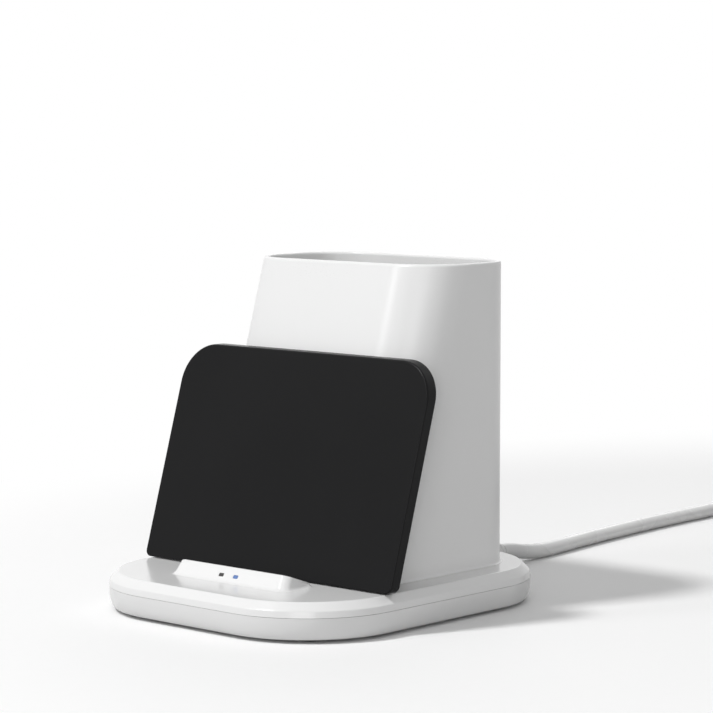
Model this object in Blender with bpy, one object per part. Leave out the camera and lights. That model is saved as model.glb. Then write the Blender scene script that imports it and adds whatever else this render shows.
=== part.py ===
"""Desk stand: a low base with a tall cup, a leaning charging panel and its supply lead.

The origin is the middle of the base on the desk, +X to the right, +Y to the back, +Z up.
"""

import math

import bmesh
import bpy
from mathutils import Vector

MM = 0.001

# Fits shared by many pieces
GAP = 0.3 * MM
FINE_GAP = 0.2 * MM
OVERRUN = 2.0 * MM
EMBED = 0.6 * MM

# Base: plan, section and walls
BASE_WIDTH = 99.2 * MM
BASE_DEPTH = 113.4 * MM
BASE_CORNER = 30.8 * MM
TRAY_UNDERSIDE = 1.0 * MM
TRAY_FLOOR = 1.6 * MM
TRAY_DRAW_IN = 1.6 * MM
TRAY_WALL = 2.2 * MM
PARTING_HEIGHT = 7.3 * MM
RIM_INSET = 1.25 * MM
RIM_HEIGHT = 1.1 * MM
SKIRT_WALL = 0.95 * MM
SHOULDER_HEIGHT = 9.16 * MM
SHOULDER_INSET = 0.36 * MM
SHOULDER_EASE = 0.8 * MM
DECK_TOP = 11.4 * MM
DECK_INSET = 2.75 * MM
DECK_WALL = 1.8 * MM
INNER_SHOULDER_INSET = 2.6 * MM
INNER_SHOULDER_HEIGHT = 8.55 * MM
CEILING_INSET = 4.2 * MM

# Ledge on the deck
LEDGE_HALF_WIDTH = 22.5 * MM
LEDGE_APRON = 16.5 * MM
LEDGE_DEPTH = 11.9 * MM
LEDGE_FRONT = LEDGE_APRON - BASE_DEPTH / 2
LEDGE_REAR = LEDGE_FRONT + LEDGE_DEPTH
LEDGE_BLANK_HEIGHT = 5.6 * MM
LEDGE_RIDGE_HEIGHT = 4.2 * MM
LEDGE_FRONT_ANGLE = math.radians(33)
LEDGE_SIDE_ANGLE = math.radians(12)
LEDGE_SEAT_ANGLE = math.radians(20)
LEDGE_FRONT_CORNER = 2.8 * MM
LEDGE_REAR_CORNER = 1.2 * MM
LEDGE_FOOT_EASE = 1.0 * MM
LEDGE_EDGE_EASE = 0.4 * MM

# Lamp windows in the ledge and the lamps behind them
WINDOW_WIDTH = 2.2 * MM
WINDOW_HEIGHT = 1.3 * MM
WINDOW_ROUND_SHARE = 0.98
WINDOW_SPACING = 5.7 * MM
WINDOW_RISE = 1.8 * MM
WINDOW_SINK = 0.1 * MM
WINDOW_LENGTH = 6.9 * MM
LAMP_SIZE = (1.8 * MM, 1.2 * MM, 0.6 * MM)
LAMP_BOARD_SIZE = (20.0 * MM, 8.6 * MM, 0.6 * MM)
LAMP_BOARD_SETBACK = 7.2 * MM
LAMP_BOARD_MIDDLE = LEDGE_FRONT + LAMP_BOARD_SETBACK
LAMP_BOARD_BOTTOM = 6.6 * MM
LAMP_SCREW_SPACING = 15.0 * MM

# Feet
FOOT_RADIUS = 6.0 * MM
FOOT_EASE = 0.4 * MM
FOOT_RECESS = 0.8 * MM
FOOT_EDGE_DISTANCE = 16.6 * MM
FOOT_X = BASE_WIDTH / 2 - FOOT_EDGE_DISTANCE
FOOT_Y = BASE_DEPTH / 2 - FOOT_EDGE_DISTANCE

# Charging panel, measured in its own leaning plane
PANEL_LEAN = math.radians(16.7)
SEAT_NOTCH = 3.0 * MM
PANEL_FRONT_FOOT = LEDGE_REAR + SEAT_NOTCH
PANEL_SIDE_MARGIN = 0.5 * MM
PANEL_WIDTH = BASE_WIDTH - 2 * PANEL_SIDE_MARGIN
PANEL_HEIGHT = 66.0 * MM
PANEL_THICKNESS = 3.5 * MM
PANEL_LOWER_CORNER = 2.0 * MM
PANEL_UPPER_CORNER = 12.0 * MM
PANEL_EDGE_EASE = 0.5 * MM
PANEL_FRONT_WALL = 0.8 * MM
PANEL_SIDE_WALL = 1.4 * MM
PANEL_BACK_PLATE = 1.0 * MM
TAPE_WIDTH = 41.0 * MM
TAPE_THICKNESS = 0.2 * MM
TAPE_LOW = 5.0 * MM
TAPE_TOP_MARGIN = 8.0 * MM
TAPE_HIGH = PANEL_HEIGHT - TAPE_TOP_MARGIN
TAB_EDGE_DISTANCE = 19.1 * MM
TAB_MIDDLE = PANEL_WIDTH / 2 - TAB_EDGE_DISTANCE
TAB_WIDTH = 8.0 * MM
TAB_THICKNESS = 1.4 * MM
TAB_LENGTH = 4.2 * MM
TAB_START = 1.2 * MM
PANEL_SCREW_EDGE_DISTANCE = 5.6 * MM
PANEL_SCREW_LOW_RISE = 8.0 * MM
PANEL_SCREW_TOP_MARGIN = 12.0 * MM
PANEL_SCREW_X = PANEL_WIDTH / 2 - PANEL_SCREW_EDGE_DISTANCE
PANEL_SCREW_RISES = (PANEL_SCREW_LOW_RISE, PANEL_HEIGHT - PANEL_SCREW_TOP_MARGIN)
PANEL_SCREW_HEAD_RADIUS = 1.6 * MM
PANEL_SCREW_HEAD_HEIGHT = 0.8 * MM
PANEL_SCREW_SHANK_RADIUS = 0.7 * MM
PANEL_BOSS_RADIUS = 1.8 * MM
PANEL_BOSS_SKIN = 0.3 * MM

# Cup
CUP_SIDE_MARGIN = 11.4 * MM
CUP_REAR_MARGIN = 9.9 * MM
CUP_WIDTH = BASE_WIDTH - 2 * CUP_SIDE_MARGIN
CUP_RIM_HEIGHT = 101.0 * MM
CUP_REAR = BASE_DEPTH / 2 - CUP_REAR_MARGIN
CUP_FOOT = DECK_TOP + GAP
CUP_FRONT_FOOT = PANEL_FRONT_FOOT + (
    PANEL_THICKNESS + FINE_GAP * 2 + TAPE_THICKNESS
) / math.cos(PANEL_LEAN)
CUP_RIM_FRONT = CUP_FRONT_FOOT + (CUP_RIM_HEIGHT - CUP_FOOT) * math.tan(PANEL_LEAN)
CUP_CORNER_SHARE = 0.4
CUP_CORNER = CUP_CORNER_SHARE * (CUP_REAR - CUP_RIM_FRONT)
CUP_WALL = 1.5 * MM
CUP_FLOOR = 2.2 * MM
CUP_FLOOR_EASE = 1.6 * MM
CUP_FOOT_EASE = 0.3 * MM
CUP_BOSS_RADIUS = 3.0 * MM

# Fasteners
SCREW_HEAD_RADIUS = 2.2 * MM
SCREW_HEAD_HEIGHT = 1.2 * MM
SCREW_SHANK_RADIUS = 1.1 * MM
BASE_SCREW_SIDE_DISTANCE = 9.6 * MM
BASE_SCREW_END_DISTANCE = 38.7 * MM
BASE_SCREW_X = BASE_WIDTH / 2 - BASE_SCREW_SIDE_DISTANCE
BASE_SCREW_Y = BASE_DEPTH / 2 - BASE_SCREW_END_DISTANCE
BASE_SCREW_HEAD_BOTTOM = 1.7 * MM
BASE_SCREW_TOP = 9.6 * MM
POST_RADIUS = 4.0 * MM
POST_TOP = 5.0 * MM
BOSS_RADIUS = 3.2 * MM
BORE_TOP = 10.0 * MM
CUP_SCREW_HEAD_RADIUS = 3.8 * MM
CUP_SCREW_SIDE_DISTANCE = 11.2 * MM
CUP_SCREW_FRONT_DISTANCE = 13.0 * MM
CUP_SCREW_REAR_DISTANCE = 11.8 * MM
CUP_SCREW_X = CUP_WIDTH / 2 - CUP_SCREW_SIDE_DISTANCE
CUP_SCREW_ROWS = (
    CUP_FRONT_FOOT + CUP_SCREW_FRONT_DISTANCE, CUP_REAR - CUP_SCREW_REAR_DISTANCE,
)
CUP_SCREW_TOP = 12.8 * MM
BOARD_SCREW_TOP = 9.7 * MM
LAMP_SCREW_HEAD_RADIUS = 1.8 * MM
LAMP_SCREW_SHANK_RADIUS = 0.8 * MM
LAMP_BOSS_RADIUS = 2.4 * MM
DRIVE_WIDTH = 0.6 * MM
DRIVE_DEPTH = 0.6 * MM
HEAD_CROWN_SHARE = 0.8
DRIVE_LENGTH_SHARE = 0.6

# Charging coil and its ferrite
COIL_ABOVE_MIDDLE = 2.0 * MM
COIL_MIDDLE_RISE = PANEL_HEIGHT / 2 + COIL_ABOVE_MIDDLE
COIL_INNER_RADIUS = 10.5 * MM
COIL_PITCH = 1.4 * MM
COIL_TURNS = 8
COIL_WIRE_WIDTH = 0.9 * MM
COIL_WIRE_THICKNESS = 0.7 * MM
FERRITE_SIZE = 45.6 * MM
FERRITE_CORNER = 4.0 * MM
FERRITE_THICKNESS = 0.4 * MM
COIL_LEAD_RADIUS = 0.5 * MM
COIL_LEAD_X = (10.0 * MM, 12.0 * MM)
COIL_LEAD_CLEARANCE = 0.4 * MM
COIL_LEAD_TOP_RISE = COIL_MIDDLE_RISE - FERRITE_SIZE / 2 - COIL_LEAD_CLEARANCE
COIL_LEAD_LOW_RISE = -2.6 * MM
COIL_LEAD_BEND = 3.0 * MM
COIL_LEAD_BEND_SHARE = 0.55
WIRE_SLOT_MIDDLE = 11.0 * MM
WIRE_SLOT_WIDTH = 4.0 * MM
WIRE_SLOT_THICKNESS = 1.9 * MM
LAMP_RIBBON_WIDTH = 4.0 * MM
LAMP_RIBBON_THICKNESS = 0.3 * MM
LAMP_RIBBON_HEIGHT = 6.85 * MM

# Main board and what it carries
BOARD_SIDE_ROOM = 3.2 * MM
BOARD_WIDTH = 2 * (CUP_SCREW_X - CUP_SCREW_HEAD_RADIUS - BOARD_SIDE_ROOM)
BOARD_DEPTH = 35.6 * MM
BOARD_REAR_MARGIN = 3.1 * MM
BOARD_REAR = BASE_DEPTH / 2 - BOARD_REAR_MARGIN
BOARD_FRONT = BOARD_REAR - BOARD_DEPTH
BOARD_BOTTOM = 6.8 * MM
BOARD_THICKNESS = 1.0 * MM
BOARD_SCREW_MARGIN = 4.0 * MM
BOARD_SCREW_X = BOARD_WIDTH / 2 - BOARD_SCREW_MARGIN
BOARD_SCREW_ROWS = (BOARD_FRONT + BOARD_SCREW_MARGIN, BOARD_REAR - BOARD_SCREW_MARGIN)
CHIP_SIZE = (6.0 * MM, 6.0 * MM, 0.9 * MM)
CHIP_X = -6.0 * MM
CHIP_ROW = 20.0 * MM
INDUCTOR_SIZE = (8.0 * MM, 8.0 * MM, 2.9 * MM)
INDUCTOR_X = 6.5 * MM
CAPACITOR_SIZE = (5.2 * MM, 3.0 * MM, 2.4 * MM)
CAPACITOR_ROW = 10.0 * MM
CAPACITOR_X = (1.5 * MM, 8.5 * MM)
BRIDGE_SIZE = (5.0 * MM, 6.0 * MM, 1.0 * MM)
BRIDGE_X = -7.0 * MM
BRIDGE_ROW = 11.5 * MM

# Supply socket in the back of the base
PORT_HEIGHT = 4.8 * MM
SOCKET_WIDTH = 9.4 * MM
SOCKET_THICKNESS = 3.4 * MM
SOCKET_WALL = 0.25 * MM
SOCKET_SINK = 0.3 * MM
SOCKET_REAR = BASE_DEPTH / 2 - SOCKET_SINK
SOCKET_LENGTH = 7.4 * MM
SOCKET_BACK_WALL = 0.8 * MM
TONGUE_WIDTH = 6.8 * MM
TONGUE_THICKNESS = 0.7 * MM
TONGUE_LENGTH = 4.6 * MM

# Supply lead and its plugs
LEAD_RADIUS = 2.4 * MM
PLUG_TIP_WIDTH = 8.4 * MM
PLUG_TIP_THICKNESS = 2.4 * MM
PLUG_TIP_WALL = 0.3 * MM
PLUG_TIP_LENGTH = 6.5 * MM
PLUG_STANDOFF = 0.2 * MM
PLUG_TIP_REAR = BASE_DEPTH / 2 + PLUG_STANDOFF
PLUG_TIP_FRONT = PLUG_TIP_REAR - PLUG_TIP_LENGTH
PLUG_BODY_WIDTH = 11.6 * MM
PLUG_BODY_THICKNESS = 6.4 * MM
PLUG_BODY_LENGTH = 16.5 * MM
PLUG_BODY_EASE = 0.8 * MM
PLUG_BODY_TAPER = 1.6 * PLUG_BODY_EASE
PLUG_BODY_ROUND_SHARE = 0.8
METAL_END_ROUND_SHARE = 0.9
RELIEF_LENGTH = 9.6 * MM
RELIEF_START_RADIUS = 2.95 * MM
RELIEF_END_RADIUS = 2.5 * MM
RELIEF_RIB_RADIUS = 0.35 * MM
RELIEF_RIBS = 4
STEPS_PER_RIB = 4
LEAD_STEP = 12.0 * MM
COILED_INNER_RADIUS = 22.55 * MM
COILED_PITCH = 5.3 * MM
COILED_TURNS = 4.5
COILED_LOW_HEIGHT = 3.6 * MM
COILED_CLIMB_TURNS = 0.5
POINTS_PER_LOOP = 24
TIE_THICKNESS = 0.9 * MM
TIE_WIDTH = 6.0 * MM
TIE_EASE = 2.2 * MM
TIE_CLEARANCE = 0.5 * MM
TIED_TURNS = (
    (math.pi / 2, 0, 2),
    (-math.pi / 2, 0.5, 1.5),
)
TAIL_LENGTH = 34.0 * MM
TAIL_SHARES = (0, 0.15, 0.4, 0.65, 0.85, 1)
FAR_PLUG_HEIGHT = 4.1 * MM
FAR_BODY_WIDTH = 15.6 * MM
FAR_BODY_THICKNESS = 8.0 * MM
FAR_BODY_LENGTH = 22.0 * MM
FAR_TIP_WIDTH = 12.0 * MM
FAR_TIP_THICKNESS = 4.5 * MM
FAR_TIP_WALL = 0.4 * MM
FAR_TIP_LENGTH = 12.0 * MM
FAR_TONGUE_THICKNESS = 1.6 * MM
FAR_TONGUE_LENGTH = 10.5 * MM

# Route of the free lead: across, distance behind the strain relief, height
LEAD_START = PLUG_TIP_REAR + GAP + PLUG_BODY_LENGTH + GAP + RELIEF_LENGTH + GAP
LEAD_ROUTE = (
    (0.0 * MM, 0.0 * MM, 4.8 * MM),
    (0.0 * MM, 4.1 * MM, 4.6 * MM),
    (-0.1 * MM, 13.1 * MM, 3.2 * MM),
    (-0.7 * MM, 22.1 * MM, 2.5 * MM),
    (-2.1 * MM, 34.1 * MM, 2.45 * MM),
    (-3.8 * MM, 46.1 * MM, 2.45 * MM),
    (-5.3 * MM, 59.1 * MM, 2.45 * MM),
    (-6.7 * MM, 72.4 * MM, 2.45 * MM),
    (-8.3 * MM, 92.1 * MM, 2.45 * MM),
    (-9.3 * MM, 111.5 * MM, 2.45 * MM),
    (-9.6 * MM, 126.1 * MM, 2.5 * MM),
    (-9.4 * MM, 138.1 * MM, 3.0 * MM),
    (-9.4 * MM, 146.1 * MM, 3.55 * MM),
    (-9.4 * MM, 151.0 * MM, 3.6 * MM),
)
COILED_OUTER_RADIUS = COILED_INNER_RADIUS + COILED_PITCH * COILED_TURNS / 2
COILED_MIDDLE = (
    LEAD_ROUTE[-1][0] + COILED_OUTER_RADIUS,
    LEAD_START + LEAD_ROUTE[-1][1] + GAP + 2 * LEAD_RADIUS,
)

# Smoothness
BASE_STEPS = 8
CUP_STEPS = 8
SMALL_STEPS = 4
EASE_STEPS = 3
ROUND_SIDES = 20
SCREW_SIDES = 10
CREASE = math.radians(30)

# Colours, roughness and metal share of the materials
WHITE = (0.86, 0.86, 0.85)
CUP_WHITE = (0.84, 0.84, 0.83)
BLACK = (0.012, 0.012, 0.013)
RUBBER_GREY = (0.05, 0.05, 0.05)
STEEL = (0.62, 0.62, 0.6)
BOARD_GREEN = (0.02, 0.16, 0.07)
CHIP_BLACK = (0.02, 0.02, 0.022)
FERRITE_GREY = (0.07, 0.07, 0.075)
COPPER = (0.72, 0.33, 0.16)
BLUE_LIGHT = (0.05, 0.22, 0.95)
SMOKED = (0.16, 0.16, 0.18)
CAPACITOR_BROWN = (0.42, 0.27, 0.13)
TAPE_GREY = (0.55, 0.55, 0.53)
RED = (0.6, 0.03, 0.03)


def clear_scene():
    """Remove what the file holds at the start."""
    for item in list(bpy.data.objects):
        bpy.data.objects.remove(item, do_unlink=True)


def finish(name, colour, roughness, metallic):
    """Plain surface with one colour."""
    surface = bpy.data.materials.new(name)
    surface.use_nodes = True
    shader = surface.node_tree.nodes["Principled BSDF"]
    shader.inputs["Base Color"].default_value = (*colour, 1)
    shader.inputs["Roughness"].default_value = roughness
    shader.inputs["Metallic"].default_value = metallic
    surface.diffuse_color = (*colour, 1)
    return surface


def loft(loops, closed=False):
    """Solid through loops of equal numbers of points, capped, or joined end to end."""
    shape = bmesh.new()
    rings = [[shape.verts.new(point) for point in loop] for loop in loops]
    following = rings[1:] + rings[:1] if closed else rings[1:]
    for ring, after in zip(rings, following):
        for index in range(len(ring)):
            nearby = (index + 1) % len(ring)
            shape.faces.new((ring[index], ring[nearby], after[nearby], after[index]))
    if not closed:
        shape.faces.new(reversed(rings[0]))
        shape.faces.new(rings[-1])
    bmesh.ops.recalc_face_normals(shape, faces=shape.faces)
    return shape


def make(name, surface, shapes):
    """Object made of one or more solids."""
    joined = bmesh.new()
    for shape in shapes:
        passing = bpy.data.meshes.new(name)
        shape.to_mesh(passing)
        shape.free()
        joined.from_mesh(passing)
        bpy.data.meshes.remove(passing)
    mesh = bpy.data.meshes.new(name)
    joined.to_mesh(mesh)
    joined.free()
    mesh.shade_smooth()
    mesh.set_sharp_from_angle(angle=CREASE)
    item = bpy.data.objects.new(name, mesh)
    bpy.context.scene.collection.objects.link(item)
    if surface:
        mesh.materials.append(surface)
    return item


def combine(item, shapes, operation):
    """Apply a Boolean of the solids to the object."""
    tool = make("tool", None, shapes)
    tool.hide_render = True
    tool.display_type = "WIRE"
    modifier = item.modifiers.new("combine", "BOOLEAN")
    modifier.operation = operation
    modifier.solver = "EXACT"
    modifier.object = tool
    bpy.context.view_layer.update()
    graph = bpy.context.evaluated_depsgraph_get()
    mesh = bpy.data.meshes.new_from_object(item.evaluated_get(graph))
    item.modifiers.remove(modifier)
    former = item.data
    item.data = mesh
    bpy.data.meshes.remove(former)
    bpy.data.objects.remove(tool, do_unlink=True)
    mesh.set_sharp_from_angle(angle=CREASE)


def add(item, shapes):
    combine(item, shapes, "UNION")


def cut(item, shapes):
    combine(item, shapes, "DIFFERENCE")


def rounded(half_width, low, high, low_radius, high_radius=None, steps=SMALL_STEPS):
    """Outline of a rectangle with arcs at its corners, as pairs across and along."""
    high_radius = low_radius if high_radius is None else high_radius
    corners = (
        (half_width - low_radius, low + low_radius, low_radius),
        (half_width - high_radius, high - high_radius, high_radius),
        (high_radius - half_width, high - high_radius, high_radius),
        (low_radius - half_width, low + low_radius, low_radius),
    )
    points = []
    for quarter, (across, along, radius) in enumerate(corners):
        for step in range(steps + 1):
            angle = math.pi / 2 * (quarter - 1 + step / steps)
            points.append((across + radius * math.cos(angle), along + radius * math.sin(angle)))
    return points


def circle(centre, radius, height, sides=ROUND_SIDES):
    """Level ring of points."""
    return [
        (
            centre[0] + radius * math.cos(math.tau * side / sides),
            centre[1] + radius * math.sin(math.tau * side / sides),
            height,
        )
        for side in range(sides)
    ]


def turned(centre, profile, sides=ROUND_SIDES):
    """Round upright solid through pairs of radius and height."""
    return loft([circle(centre, radius, height, sides) for radius, height in profile])


def post(centre, radius, bottom, top, sides=ROUND_SIDES):
    """Upright cylinder."""
    return turned(centre, ((radius, bottom), (radius, top)), sides)


def box(left, right, front, rear, bottom, top):
    """Level block."""
    plan = ((left, front), (right, front), (right, rear), (left, rear))
    return loft([[(x, y, height) for x, y in plan] for height in (bottom, top)])


def block(middle, size, top):
    """Level block below a height, from its middle in plan and its size."""
    half_width, half_depth = size[0] / 2, size[1] / 2
    return box(
        middle[0] - half_width, middle[0] + half_width,
        middle[1] - half_depth, middle[1] + half_depth,
        top - size[2], top,
    )


def screw(centre, head_radius, head_bottom, head_height, shank_radius, top):
    """Pan-head screw that points up."""
    neck = head_bottom + head_height
    return turned(
        centre,
        (
            (head_radius * HEAD_CROWN_SHARE, head_bottom),
            (head_radius, head_bottom + head_height / 2),
            (head_radius, neck),
            (shank_radius, neck),
            (shank_radius, top - shank_radius / 2),
            (shank_radius / 2, top),
        ),
        SCREW_SIDES,
    )


def eased(corners, radius, steps=EASE_STEPS):
    """Profile through the corners, with an arc at each one between its ends."""
    corners = [Vector(corner) for corner in corners]
    profile = [corners[0]]
    for before, corner, after in zip(corners, corners[1:], corners[2:]):
        back = (before - corner).normalized()
        ahead = (after - corner).normalized()
        half = back.angle(ahead) / 2
        centre = corner + (back + ahead).normalized() * radius / math.sin(half)
        first = corner + back * radius / math.tan(half) - centre
        last = corner + ahead * radius / math.tan(half) - centre
        sweep = first.angle(last)
        for step in range(steps + 1):
            share = step / steps
            early = math.sin((1 - share) * sweep) / math.sin(sweep)
            late = math.sin(share * sweep) / math.sin(sweep)
            profile.append(centre + first * early + last * late)
    profile.append(corners[-1])
    return profile


def corners_of(half_width, rows):
    """Mirrored places at both sides of each row."""
    return [(side * half_width, row) for row in rows for side in (-1, 1)]


def base_loop(inset, height):
    """Outline of the base, drawn in by the inset."""
    half_width, half_depth = BASE_WIDTH / 2 - inset, BASE_DEPTH / 2 - inset
    plan = rounded(half_width, -half_depth, half_depth, BASE_CORNER - inset, steps=BASE_STEPS)
    return [(x, y, height) for x, y in plan]


def leaning(across, rise, depth):
    """Point of the charging panel: across, up its slope and back from its front face."""
    return (
        across,
        PANEL_FRONT_FOOT + rise * math.sin(PANEL_LEAN) + depth / math.cos(PANEL_LEAN),
        DECK_TOP + GAP + rise * math.cos(PANEL_LEAN),
    )


def leaning_box(left, right, low, high, near, far):
    """Block in the panel's own directions."""
    face = ((left, low), (right, low), (right, high), (left, high))
    return loft([[leaning(x, rise, depth) for x, rise in face] for depth in (near, far)])


def leaning_plate(face, near, far):
    """Plate of any outline in the panel's plane."""
    return loft([[leaning(x, rise, depth) for x, rise in face] for depth in (near, far)])


def leaning_turned(centre, profile, sides):
    """Round solid square to the panel, through pairs of radius and depth."""
    return loft([
        [leaning(x, rise, depth) for x, rise, _ in circle(centre, radius, 0, sides)]
        for radius, depth in profile
    ])


def ledge_front(rise):
    """How far back the ledge's front face is at a height over the deck."""
    return LEDGE_FRONT + rise * math.tan(LEDGE_FRONT_ANGLE)


def ledge_shape():
    """Wedge in front of the panel, with a flared foot and a seat sloping to the back."""
    rises = [-EMBED] + [
        LEDGE_FOOT_EASE * (1 - math.cos(math.pi / 2 * step / SMALL_STEPS))
        for step in range(SMALL_STEPS + 1)
    ] + [LEDGE_BLANK_HEIGHT]
    loops = []
    for rise in rises:
        below = min(max(LEDGE_FOOT_EASE - rise, 0), LEDGE_FOOT_EASE)
        flare = LEDGE_FOOT_EASE - math.sqrt(LEDGE_FOOT_EASE ** 2 - below ** 2)
        plan = rounded(
            LEDGE_HALF_WIDTH - rise * math.tan(LEDGE_SIDE_ANGLE) + flare,
            ledge_front(rise) - flare,
            LEDGE_REAR + flare / 2,
            LEDGE_FRONT_CORNER + flare,
            LEDGE_REAR_CORNER + flare,
        )
        loops.append([(x, y, DECK_TOP + rise) for x, y in plan])
    shape = make("ledge", None, [loft(loops)])
    ridge = ledge_front(LEDGE_RIDGE_HEIGHT)
    ahead, behind = ridge - OVERRUN * 2, LEDGE_REAR + OVERRUN * 2
    over = LEDGE_HALF_WIDTH + OVERRUN
    profile = [
        (y, DECK_TOP + LEDGE_RIDGE_HEIGHT - (y - ridge) * math.tan(LEDGE_SEAT_ANGLE))
        for y in (ahead, behind)
    ]
    ceiling = DECK_TOP + LEDGE_BLANK_HEIGHT + OVERRUN
    profile += [(behind, ceiling), (ahead, ceiling)]
    cut(shape, [loft([[(x, y, z) for y, z in profile] for x in (-over, over)])])
    rounded_off = bmesh.new()
    rounded_off.from_mesh(shape.data)
    level = DECK_TOP + LEDGE_EDGE_EASE
    edges = [
        edge for edge in rounded_off.edges
        if min(vert.co.z for vert in edge.verts) > level and edge.calc_face_angle(0) > CREASE
    ]
    bmesh.ops.bevel(
        rounded_off, geom=edges, offset=LEDGE_EDGE_EASE, segments=2, profile=0.5, affect="EDGES"
    )
    bpy.data.objects.remove(shape, do_unlink=True)
    return rounded_off


def window_shape(middle, grown, start, end):
    """Bar through the ledge's front face, square to it and run down into the base."""
    outline = rounded(
        WINDOW_WIDTH / 2 + grown, -WINDOW_HEIGHT / 2 - grown, WINDOW_HEIGHT / 2 + grown,
        (WINDOW_HEIGHT / 2 + grown) * WINDOW_ROUND_SHARE,
    )
    slope = LEDGE_FRONT_ANGLE
    loops = []
    for depth in (start, end):
        loops.append([
            (
                middle + across,
                ledge_front(WINDOW_RISE) + depth * math.cos(slope) + along * math.sin(slope),
                DECK_TOP + WINDOW_RISE - depth * math.sin(slope) + along * math.cos(slope),
            )
            for across, along in outline
        ])
    return loft(loops)


def bosses(places, radius, bottom):
    """Bosses that hang from the underside of the deck."""
    return [post(place, radius, bottom, DECK_TOP - DECK_WALL + EMBED) for place in places]


BASE_SCREWS = corners_of(BASE_SCREW_X, (-BASE_SCREW_Y, BASE_SCREW_Y))
CUP_SCREWS = corners_of(CUP_SCREW_X, CUP_SCREW_ROWS)
BOARD_SCREWS = corners_of(BOARD_SCREW_X, BOARD_SCREW_ROWS)
LAMP_SCREWS = corners_of(LAMP_SCREW_SPACING / 2, (LAMP_BOARD_MIDDLE,))
FEET = corners_of(FOOT_X, (-FOOT_Y, FOOT_Y))
DECK_UNDERSIDE = DECK_TOP - DECK_WALL
TAB_SIDES = (-1, 1)


def base_top_shell(surface):
    """Cover with the deck, the sloped shoulder, a short skirt and the ledge."""
    outer = eased(
        (
            (0, PARTING_HEIGHT + GAP / 2),
            (SHOULDER_INSET, SHOULDER_HEIGHT),
            (DECK_INSET, DECK_TOP),
            (CEILING_INSET, DECK_TOP),
        ),
        SHOULDER_EASE,
    )
    inner = (
        (CEILING_INSET, DECK_UNDERSIDE),
        (INNER_SHOULDER_INSET, INNER_SHOULDER_HEIGHT),
        (SKIRT_WALL, INNER_SHOULDER_HEIGHT),
        (SKIRT_WALL, PARTING_HEIGHT + GAP / 2),
    )
    shell = make("base_top_shell", surface, [
        loft([base_loop(inset, height) for inset, height in (*inner, *outer)])
    ])
    add(shell, [ledge_shape()])
    add(shell, bosses(BASE_SCREWS, BOSS_RADIUS, POST_TOP + GAP))
    add(shell, bosses(BOARD_SCREWS, BOSS_RADIUS, BOARD_BOTTOM + BOARD_THICKNESS + GAP))
    add(shell, bosses(LAMP_SCREWS, LAMP_BOSS_RADIUS, LAMP_BOARD_BOTTOM + LAMP_BOARD_SIZE[2] + GAP))
    bore = SCREW_SHANK_RADIUS + GAP
    cut(shell, [
        post(place, bore, POST_TOP, BORE_TOP, SCREW_SIDES) for place in BASE_SCREWS + BOARD_SCREWS
    ])
    cut(shell, [
        post(place, LAMP_SCREW_SHANK_RADIUS + GAP, LAMP_BOARD_BOTTOM, BORE_TOP, SCREW_SIDES)
        for place in LAMP_SCREWS
    ])
    cut(shell, [
        post(place, CUP_BOSS_RADIUS + GAP, DECK_UNDERSIDE - OVERRUN, DECK_TOP + OVERRUN)
        for place in CUP_SCREWS
    ])
    cut(shell, [tab_shape(side, GAP) for side in TAB_SIDES] + [wire_slot(-OVERRUN * 2, OVERRUN)])
    cut(shell, [
        window_shape(side * WINDOW_SPACING / 2, FINE_GAP, -OVERRUN, WINDOW_LENGTH + OVERRUN)
        for side in (-1, 1)
    ])
    return shell


def base_bottom_shell(surface):
    """Tray with a rim that enters the cover, posts for the screws and seats for the feet."""
    side_height = PARTING_HEIGHT - GAP / 2 - TRAY_UNDERSIDE
    outer = []
    for step in range(BASE_STEPS // 2 + 1):
        angle = math.pi / 2 * step / (BASE_STEPS // 2)
        outer.append((
            TRAY_DRAW_IN * (1 - math.sin(angle)),
            TRAY_UNDERSIDE + side_height * (1 - math.cos(angle)),
        ))
    inside = (
        (RIM_INSET, PARTING_HEIGHT - GAP / 2),
        (RIM_INSET, PARTING_HEIGHT + RIM_HEIGHT - GAP / 2),
        (TRAY_WALL, PARTING_HEIGHT + RIM_HEIGHT - GAP / 2),
        (TRAY_WALL, TRAY_UNDERSIDE + TRAY_FLOOR + TRAY_DRAW_IN),
        (TRAY_WALL + TRAY_DRAW_IN, TRAY_UNDERSIDE + TRAY_FLOOR),
    )
    tray = make("base_bottom_shell", surface, [
        loft([base_loop(inset, height) for inset, height in (*outer, *inside)])
    ])
    inner_floor = TRAY_UNDERSIDE + TRAY_FLOOR
    add(tray, [post(place, POST_RADIUS, inner_floor - EMBED, POST_TOP) for place in BASE_SCREWS])
    cut(tray, [
        turned(
            place,
            (
                (SCREW_HEAD_RADIUS + GAP, TRAY_UNDERSIDE - OVERRUN),
                (SCREW_HEAD_RADIUS + GAP, BASE_SCREW_HEAD_BOTTOM + SCREW_HEAD_HEIGHT + GAP),
                (SCREW_SHANK_RADIUS + GAP, BASE_SCREW_HEAD_BOTTOM + SCREW_HEAD_HEIGHT + GAP),
                (SCREW_SHANK_RADIUS + GAP, POST_TOP + OVERRUN),
            ),
            SCREW_SIDES,
        )
        for place in BASE_SCREWS
    ])
    cut(tray, [
        post(place, FOOT_RADIUS + GAP, TRAY_UNDERSIDE - OVERRUN, TRAY_UNDERSIDE + FOOT_RECESS)
        for place in FEET
    ])
    half_height = SOCKET_THICKNESS / 2 + GAP
    cut(tray, [along_y(
        rounded(SOCKET_WIDTH / 2 + GAP, -half_height, half_height, half_height * 0.95),
        PORT_HEIGHT, SOCKET_REAR - SOCKET_LENGTH, SOCKET_REAR + OVERRUN,
    )])
    return tray


def along_y(outline, height, start, end, middle=0):
    """Bar along Y with the outline as its section."""
    return loft([
        [(middle + across, y, height + along) for across, along in outline] for y in (start, end)
    ])


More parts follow.
